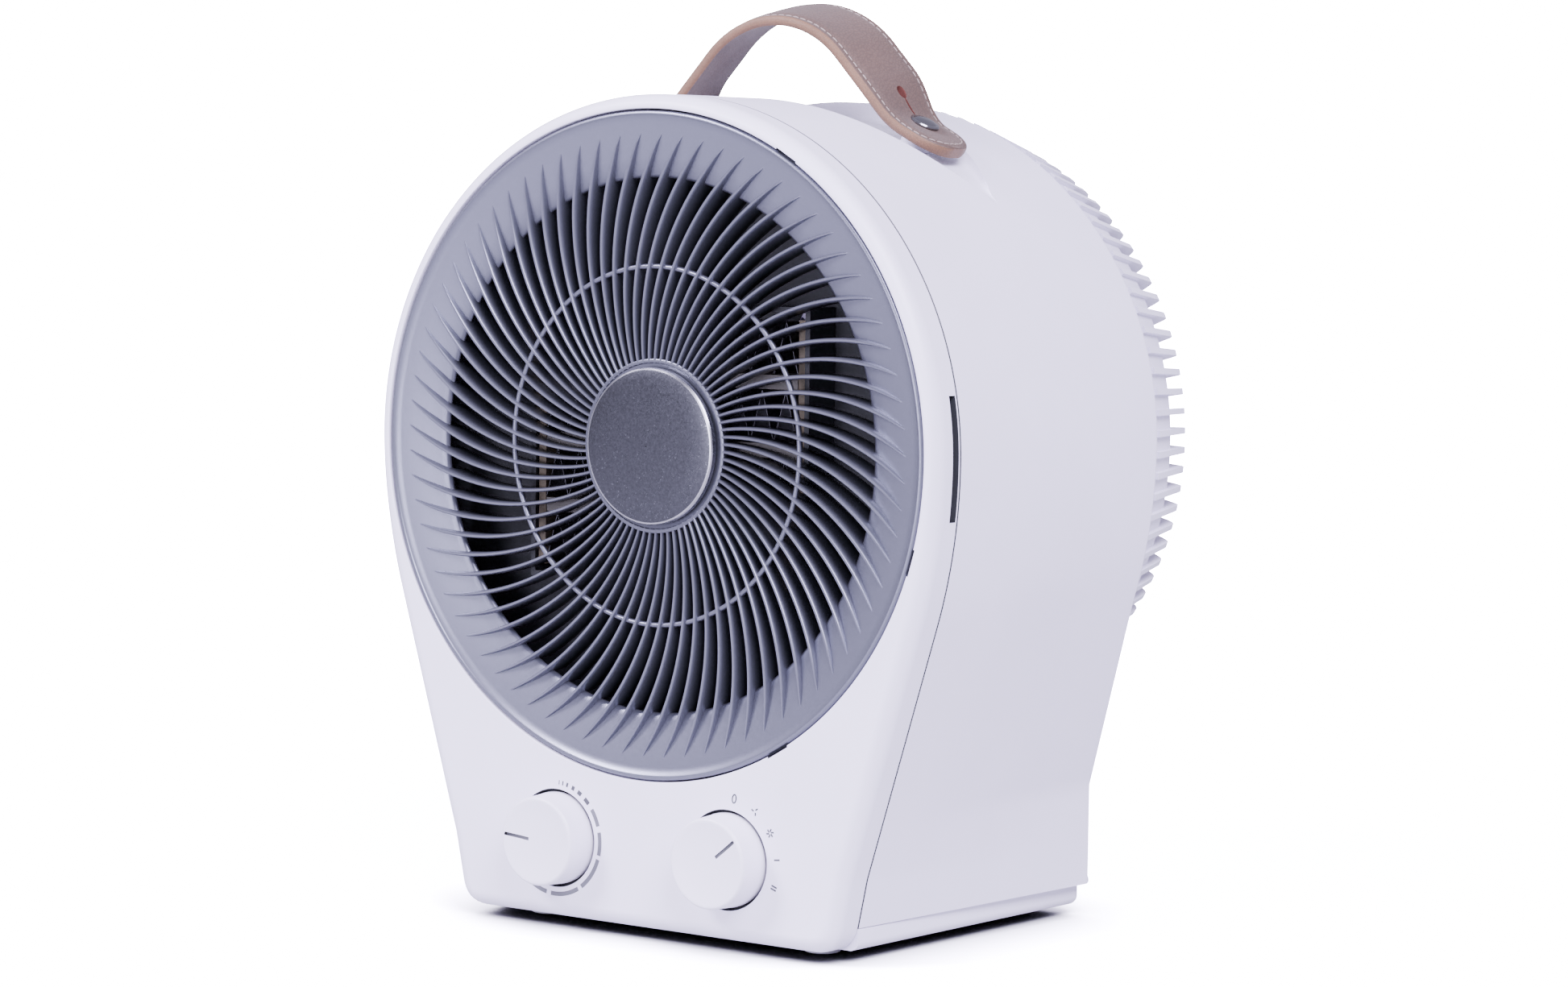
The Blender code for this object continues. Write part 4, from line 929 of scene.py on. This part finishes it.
def dial_point(side, radius, degrees):
    x, z = KNOB_AT[side]
    a = math.radians(degrees)
    return Vector((x + radius * math.sin(a), FRONT_Y - 0.06 * MM, z + radius * math.cos(a)))


def stroke(pile, points, width, look=0):
    """A printed line as a thin raised strip through points on the front face."""
    rows = []
    for index, point in enumerate(points):
        ahead = points[min(index + 1, len(points) - 1)] - points[max(index - 1, 0)]
        across = Vector((ahead.z, 0, -ahead.x)).normalized() * width / 2
        lift = Vector((0, 0.12 * MM, 0))
        rows.append([point - across, point + across, point + across + lift, point - across + lift])
    pile.rows(rows, caps=True, look=look)


def thermostat_scale():
    """A scale that grows clockwise: ticks, then longer and longer arcs."""
    pile = Pile()
    radius = 20.4 * MM
    for degrees, width in ((4.2, 0.35), (9.0, 0.5), (14.8, 0.8), (22.9, 1.3), (32.3, 1.9), (44.1, 2.6)):
        half = math.degrees(width * MM / radius) / 2
        arc = [dial_point(-1, radius, degrees + half * s) for s in (-1, 0, 1)]
        stroke(pile, arc, 1.6 * MM, look=1)
    for start, end in ((54.4, 72.7), (78.9, 102.6), (107.0, 143.8), (148.7, 185.4), (191.0, 232.0)):
        steps = 12
        arc = [dial_point(-1, radius, lerp(start, end, i / steps)) for i in range(steps + 1)]
        stroke(pile, arc, 1.6 * MM, look=0)
    scale = pile.build("thermostat_scale", [PALE_PRINT_AND_GROOVE_SHADE, PRINT])
    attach(scale, "housing")


def symbol_frame(degrees, radius=22.3 * MM):
    """Map symbol coordinates (across, outward) in mm to the face beside the selector."""
    a = math.radians(degrees)
    origin = dial_point(1, radius, degrees)
    outward = Vector((math.sin(a), 0, math.cos(a)))
    across = Vector((math.cos(a), 0, -math.sin(a)))
    return lambda u, v: origin + across * u * MM + outward * v * MM


def selector_symbols():
    """0, a cool-air and a warm-air star, and one and two bars."""
    pile = Pile()
    width = 0.52 * MM
    at = symbol_frame(9.0)
    oval = [at(0.8 * math.sin(a), 1.5 * math.cos(a)) for a in np.linspace(0, 2 * math.pi, 25)]
    stroke(pile, oval, width)
    for degrees, count in ((34.0, 3), (59.0, 6)):
        at = symbol_frame(degrees)
        for k in range(count):
            a = 2 * math.pi * k / count
            bend = 0.35
            line = [at(r * math.sin(a + bend * r / 1.6), r * math.cos(a + bend * r / 1.6)) for r in (0.45,
                                                                                                     1.0, 1.6)]
            stroke(pile, line, width)
    for degrees, places in ((84.0, (0.0,)), (110.0, (-0.55, 0.55))):
        at = symbol_frame(degrees)
        for u in places:
            stroke(pile, [at(u, -1.2), at(u, 0), at(u, 1.2)], width * 1.1)
    symbols = pile.build("selector_symbols", [PRINT])
    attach(symbols, "housing")


# ---- strap handle -------------------------------------------------------------------
STRAP_T = 4.0 * MM
STRAP_HALF = (strap_high.y - strap_low.y) / 2
STRAP_TOP = strap_high.z - 3.0 * MM
ARCH_R = 39.5 * MM
LEG_TURN = math.radians(47.0)
FOOT_R = 38 * MM
TAIL_TURN = math.radians(34.2)
FLARE = 6.0 * MM
STUD_TURN = math.radians(26.4)


def strap_side():
    """Dense middle line of half the strap: (point, normal turn) from the top to the tip."""
    arch_z = STRAP_TOP - ARCH_R - STRAP_T / 2
    rest_r = BODY_R + 0.3 * MM + STRAP_T / 2
    along = Vector((math.cos(LEG_TURN), -math.sin(LEG_TURN)))
    outward = Vector((math.sin(LEG_TURN), math.cos(LEG_TURN)))
    leg_start = Vector((0, arch_z)) + outward * ARCH_R
    base = leg_start + outward * FOOT_R - Vector((0, AXIS_Z))
    reach = rest_r + FOOT_R
    b = base.dot(along)
    leg = -b - math.sqrt(b * b - base.dot(base) + reach * reach)
    if leg < 0:
        leg = -b + math.sqrt(b * b - base.dot(base) + reach * reach)
    foot = leg_start + along * leg + outward * FOOT_R
    touch = math.atan2(foot.x, foot.y - AXIS_Z)
    line = []
    for turn in np.linspace(0, LEG_TURN, 26):
        line.append((Vector((0, arch_z)) + ARCH_R * Vector((math.sin(turn), math.cos(turn))), turn))
    for s in np.linspace(0, leg, 16)[1:-1]:
        line.append((leg_start + along * s, LEG_TURN))
    for turn in np.linspace(LEG_TURN, touch, 12):
        line.append((foot - FOOT_R * Vector((math.sin(turn), math.cos(turn))), turn))
    for turn in np.linspace(touch, TAIL_TURN, 22)[1:]:
        line.append((Vector((0, AXIS_Z)) + rest_r * Vector((math.sin(turn), math.cos(turn))), turn))
    return line


def strap_line():
    """Whole middle line from the left tip to the right tip with distances."""
    half = strap_side()
    left = [(Vector((-p.x, p.y)), -turn) for p, turn in reversed(half[1:])]
    line = left + half
    lengths = [0.0]
    for (p, _), (q, _) in zip(line, line[1:]):
        lengths.append(lengths[-1] + (q - p).length)
    return line, lengths


LINE, LENGTHS = strap_line()
STRAP_LENGTH = LENGTHS[-1]


def on_strap(distance, across, lift):
    """A point on the strap: distance along it, sideways offset, height over the middle line."""
    index = int(np.searchsorted(LENGTHS, distance, side="right")) - 1
    index = min(max(index, 0), len(LINE) - 2)
    t = (distance - LENGTHS[index]) / (LENGTHS[index + 1] - LENGTHS[index])
    (p, a), (q, b) = LINE[index], LINE[index + 1]
    turn = lerp(a, b, t)
    point = p.lerp(q, t)
    from_tip = min(distance, STRAP_LENGTH - distance)
    lift += FLARE * (across / STRAP_HALF + 1) / 2 * ease((from_tip - 16 * MM) / (26 * MM))
    return Vector((point.x + lift * math.sin(turn), STRAP_Y + across, point.y + lift * math.cos(turn)))


END_R = 13.0 * MM


def half_width(distance):
    """Half width of the strap, rounded off at both tips."""
    from_tip = min(distance, STRAP_LENGTH - distance)
    if from_tip >= END_R:
        return STRAP_HALF
    inside = END_R - from_tip
    return STRAP_HALF - END_R + math.sqrt(max(END_R ** 2 - inside ** 2, 0.0))


STITCH_INSET = 2.7 * MM


def crown(across, half):
    """Height of the padded face: full in the middle, pulled down along the stitching."""
    share = abs(across) / half
    body = 0.75 * MM * (1 - share ** 4)
    from_edge = half - abs(across)
    groove = 0.42 * MM * math.exp(-((from_edge - STITCH_INSET) / (0.8 * MM)) ** 2)
    return body - groove


def strap():
    pile = Pile()
    rows = []
    tips = [END_R * (1 - math.cos(a)) for a in np.linspace(0.12, math.pi / 2, 14)]
    middle = list(np.linspace(END_R, STRAP_LENGTH - END_R, 150))[1:-1]
    stations = tips + middle + [STRAP_LENGTH - t for t in reversed(tips)]
    face_steps, edge_steps = 34, 8
    edge_r = STRAP_T / 2 * 0.92
    for s in stations:
        half = half_width(s)
        row = []
        for i in range(face_steps + 1):
            across = lerp(-(half - 0.8 * MM), half - 0.8 * MM, i / face_steps)
            row.append(on_strap(s, across, edge_r - 0.3 * MM + crown(across, half)))
        for i in range(1, edge_steps):
            a = math.pi / 2 - math.pi * i / edge_steps
            row.append(on_strap(s, half - 0.8 * MM + 0.8 * MM * math.cos(a), edge_r * math.sin(a) * 0.86))
        for i in range(face_steps // 2 + 1):
            across = lerp(half - 0.8 * MM, -(half - 0.8 * MM), i / (face_steps // 2))
            row.append(on_strap(s, across, -edge_r - 0.05 * MM))
        for i in range(1, edge_steps):
            a = -math.pi / 2 + math.pi * i / edge_steps
            row.append(on_strap(s, -(half - 0.8 * MM) - 0.8 * MM * math.cos(a), edge_r * math.sin(a) * 0.86))
        rows.append(row)
    pile.rows(rows, caps=True)
    width = len(rows[0])
    for index in range(len(pile.looks) - 2):
        column = index % width
        on_edge = face_steps <= column < face_steps + edge_steps or column >= width - edge_steps
        pile.looks[index] = 1 if on_edge else 0
    pile.looks[-2:] = [1, 1]
    piece = pile.build("leather_strap", [TAUPE, TAN_EDGE, HOLE_RED], sharp=50)
    cutters = []
    slit_from, slit_to = 5.0 * MM, 14.5 * MM
    for side in (-1, 1):
        stud_s = stud_distance(side)
        hole_s = stud_s - side * 16.5 * MM
        cutters.append(strap_cutter("hole", hole_s, 2.7 * MM, 1.9 * MM))
        cutters.append(strap_cutter("slit", stud_s - side * (slit_from + slit_to) / 2,
                                    (slit_to - slit_from) / 2,
                                    0.5 * MM))
    cut_out(piece, cutters)
    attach(piece, "housing")
    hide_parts("handle_strap")


def stud_distance(side):
    """Distance along the strap to a stud."""
    target = side * STUD_TURN
    best = min(range(len(LINE)), key=lambda i: abs(math.atan2(LINE[i][0].x, LINE[i][0].y - AXIS_Z) - target))
    return LENGTHS[best]


def strap_cutter(name, distance, half_long, half_wide):
    """An oblong plug through the strap, in its face material's third slot."""
    rows = []
    sides = 24
    for lift in (-5 * MM, 5 * MM):
        ring = []
        for k in range(sides):
            a = 2 * math.pi * k / sides
            ring.append(on_strap(distance + half_long * math.cos(a), half_wide * math.sin(a), lift))
        rows.append(ring)
    pile = Pile()
    pile.rows(rows, caps=True)
    return pile.build(name, [HOLE_RED])


def stitches():
    """Thread along both edges and round both tips, one short crowned stitch at a time."""
    radius = END_R - STITCH_INSET
    edge = STRAP_HALF - STITCH_INSET
    corner = edge - radius
    tip = STRAP_LENGTH - END_R
    straight = np.arange(END_R, tip, 1 * MM)

    def bend(start, along, across):
        return [(along + radius * math.sin(a), across + radius * math.cos(a))
                for a in np.linspace(start, start + math.pi / 2, 18)]

    path = [(s, edge) for s in straight] + bend(0, tip, corner)
    path += [(tip + radius, across) for across in np.linspace(corner, -corner, 6)[1:-1]]
    path += bend(math.pi / 2, tip, -corner)
    path += [(s, -edge) for s in reversed(straight)] + bend(math.pi, END_R, -corner)
    path += [(END_R - radius, across) for across in np.linspace(-corner, corner, 6)[1:-1]]
    path += bend(1.5 * math.pi, END_R, corner)
    path.append(path[0])
    path = np.array(path)
    gaps = np.linalg.norm(np.diff(path, axis=0), axis=1)
    total = np.concatenate([[0], np.cumsum(gaps)])
    pitch, length, thick = 3.1 * MM, 2.3 * MM, 0.27 * MM
    count = int(total[-1] / pitch)
    pile = Pile()

    def at(distance):
        return (float(np.interp(distance, total, path[:, 0])), float(np.interp(distance, total, path[:, 1])))

    for index in range(count):
        rows = []
        for k in range(5):
            d = (index + 0.5) * total[-1] / count + length * (k / 4 - 0.5)
            s, across = at(d)
            s2, across2 = at(d + 0.2 * MM)
            swell = math.sin(math.pi * (0.12 + 0.76 * k / 4))
            lift = STRAP_T / 2 * 0.92 - 0.3 * MM
            lift = lift + crown(across, max(half_width(s), 4 * MM)) + 0.10 * MM * swell
            middle = on_strap(s, across, lift)
            ahead = (on_strap(s2, across2, lift) - middle).normalized()
            up = (on_strap(s, across, lift + 1 * MM) - middle).normalized()
            side = ahead.cross(up)
            r = thick * (0.55 + 0.45 * swell)
            rows.append([middle + side * r * math.cos(a) + up * r * math.sin(a)
                         for a in np.linspace(0, 2 * math.pi, 8, endpoint=False)])
        pile.rows(rows, caps=True)
    piece = pile.build("strap_stitching", STITCH)
    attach(piece, "housing")


def stud(side, node):
    turn = side * STUD_TURN
    direction = Vector((math.sin(turn), 0, math.cos(turn)))
    seat = Vector((0, STRAP_Y, AXIS_Z)) + direction * (BODY_R + STRAP_T + 0.55 * MM)
    profile = [(2.5 * MM, -14.0 * MM), (2.5 * MM, 0.0), (5.3 * MM, 0.0), (5.65 * MM, 0.25 * MM),
               (5.7 * MM, 0.7 * MM),
               (5.4 * MM, 1.15 * MM), (4.9 * MM, 1.30 * MM), (4.6 * MM, 1.25 * MM), (4.3 * MM, 1.5 * MM),
               (3.2 * MM, 1.95 * MM), (1.8 * MM, 2.2 * MM), (0.2 * MM, 2.3 * MM)]
    boss = rod(node.replace("stud", "boss"), [(5.6 * MM, 0.0), (5.6 * MM, 6.9 * MM), (5.3 * MM, 7.2 * MM)],
               seat - direction * (STRAP_T + 8.0 * MM), direction, 48, WHITE)
    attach(boss, "housing")
    piece = rod(node + "_head", profile, seat, direction, 64, CHROME)
    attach(piece, "housing")
    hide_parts(node)


# ---- kept frame pieces --------------------------------------------------------------
def dress():
    """Give every frame piece that stays visible its own finish."""
    looks = {
        "heater_frame": DARK, "fan_shroud": DARK, "motor_bracket": DARK, "cord_gland": DARK,
        "selector_switch_body": DARK, "tilt_switch_body": DARK, "fan_impeller": FAN_PLASTIC,
        "thermostat_body": STEEL, "thermostat_shaft": STEEL, "selector_shaft": STEEL, "motor_shaft": STEEL,
        "motor_housing": STEEL, "thermal_cutout": STEEL, "tilt_spring": STEEL, "fan_nut": BRASS,
        "terminal_block": WHITE, "tilt_plunger": WHITE, "core_holder_left": MICA, "core_holder_right": MICA,
    }
    for name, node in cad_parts.items():
        look = looks.get(name)
        if look is None:
            for word, match in (("screw", STEEL), ("nut", STEEL), ("radiator", ALLOY), ("ceramic", CERAMIC),
                                ("foot", RUBBER), ("strap_stud", CHROME)):
                if word in name:
                    look = match
        look = look or WHITE
        node.data.materials.clear()
        node.data.materials.append(look)


# ---- stage, lights and camera -------------------------------------------------------
PAPER_NEAR = 9.0            # brightness of the floor to the camera, beside the heater
PAPER_FAR = 40.0            # and far behind it
PAPER_START, PAPER_END = 0.35, 2.2
# Painted contact shadow: reach and power of the ambient occlusion that darkens the floor's colour to the camera.
CONTACT_SHADE_REACH = 0.05
CONTACT_SHADE_POWER = 2.2
FLOOR_HALF = 30.0


def floor():
    material, nodes, links, shader, place = new_material("pale_floor")
    cloud = noise_node(nodes, links, place, 3.0, 2.0)
    tint = ramp_node(nodes, links, cloud.outputs["Fac"], (0.48, 0.48, 0.50), (0.52, 0.52, 0.54))
    links.new(tint.outputs["Color"], shader.inputs["Base Color"])
    shader.inputs["Roughness"].default_value = 0.6
    paper = nodes.new("ShaderNodeBsdfDiffuse")
    far = nodes.new("ShaderNodeVectorMath")
    far.operation = "LENGTH"
    links.new(place.outputs["Object"], far.inputs[0])
    spread = span_node(nodes, links, far.outputs["Value"], PAPER_START, PAPER_END, PAPER_NEAR, PAPER_FAR)
    # Painted contact shadow: ambient occlusion darkens the floor's colour to the camera next to the heater.
    painted_contact_shade = nodes.new("ShaderNodeAmbientOcclusion")
    painted_contact_shade.inputs["Distance"].default_value = CONTACT_SHADE_REACH
    deepen = nodes.new("ShaderNodeMath")
    deepen.operation = "POWER"
    links.new(painted_contact_shade.outputs["AO"], deepen.inputs[0])
    deepen.inputs[1].default_value = CONTACT_SHADE_POWER
    dim = nodes.new("ShaderNodeMath")
    dim.operation = "MULTIPLY"
    links.new(spread.outputs["Result"], dim.inputs[0])
    links.new(deepen.outputs["Value"], dim.inputs[1])
    links.new(dim.outputs["Value"], paper.inputs["Color"])
    camera_sees(nodes, links, shader.outputs["BSDF"], paper.outputs["BSDF"], "Material Output")
    verts = [(x * FLOOR_HALF, y * FLOOR_HALF, 0) for x, y in ((-1, -1), (1, -1), (1, 1), (-1, 1))]
    piece = make("floor", verts, [(0, 1, 2, 3)], material, smooth=False)


def softbox(name, place, target, size, power, colour=(1, 1, 1)):
    light = bpy.data.lights.new(name, "AREA")
    light.shape = "RECTANGLE"
    light.size, light.size_y = size
    light.energy = power
    light.color = colour
    obj = bpy.data.objects.new(name, light)
    bpy.context.scene.collection.objects.link(obj)
    obj.location = place
    aim = Vector(target) - Vector(place)
    obj.rotation_euler = aim.to_track_quat("-Z", "Y").to_euler()


ROOM_LIGHT = 0.65
PAPER_LIGHT = 40.0          # brightness of the background to the camera
LIGHT_AIM = (0, 0, 0.16)


def lights():
    world = bpy.data.worlds.new("soft_room")
    bpy.context.scene.world = world
    world.use_nodes = True
    nodes, links = world.node_tree.nodes, world.node_tree.links
    room = nodes["Background"]
    room.inputs["Color"].default_value = (1.0, 0.94, 1.22, 1)
    room.inputs["Strength"].default_value = ROOM_LIGHT
    paper = nodes.new("ShaderNodeBackground")
    paper.inputs["Color"].default_value = (1.0, 1.0, 1.0, 1)
    paper.inputs["Strength"].default_value = PAPER_LIGHT
    camera_sees(nodes, links, room.outputs["Background"], paper.outputs["Background"], "World Output")
    softbox("right", (1.45, -0.91, 1.70), LIGHT_AIM, (1.2, 1.2), 140.0, (1.0, 0.955, 1.24))
    softbox("upper_left", (-1.16, -1.49, 1.64), LIGHT_AIM, (0.7, 0.7), 108.0, (1.0, 0.955, 1.22))
    softbox("front_card", (-0.12, -2.2, 0.24), LIGHT_AIM, (0.9, 0.9), 36.0, (1.0, 0.965, 1.22))


CAMERA_AZIMUTH = math.radians(35.749)
CAMERA_ELEVATION = math.radians(4.255)
CAMERA_ROLL = math.radians(0.689)
CAMERA_DISTANCE = 1463.15 * MM
CAMERA_TARGET = Vector((18.45 * MM, 60.0 * MM, 157.84 * MM))
CAMERA_LENS = 92.5


def camera():
    a, e, r = CAMERA_AZIMUTH, CAMERA_ELEVATION, CAMERA_ROLL
    back = Vector((math.sin(a) * math.cos(e), -math.cos(a) * math.cos(e), math.sin(e)))
    right = Vector((math.cos(a), math.sin(a), 0))
    up = back.cross(right)
    turned_right = right * math.cos(r) + up * math.sin(r)
    turned_up = up * math.cos(r) - right * math.sin(r)
    data = bpy.data.cameras.new("camera")
    data.lens = CAMERA_LENS
    data.sensor_width = 36.0
    obj = bpy.data.objects.new("camera", data)
    bpy.context.scene.collection.objects.link(obj)
    turn = Matrix((turned_right, turned_up, back)).transposed().to_4x4()
    place = CAMERA_TARGET + Vector((0, FRONT_Y, 0)) + back * CAMERA_DISTANCE
    obj.matrix_world = Matrix.Translation(place) @ turn
    bpy.context.scene.camera = obj


camera()
lights()
floor()
front_cover()
body_shell()
base_plate()
feet()
front_grille()
grille_badge()
rear_grille()
knob(-1, "thermostat_knob", "thermostat_control")
knob(1, "selector_knob", "selector_control")
thermostat_scale()
selector_symbols()
strap()
stitches()
stud(-1, "strap_stud_left")
stud(1, "strap_stud_right")
dress()
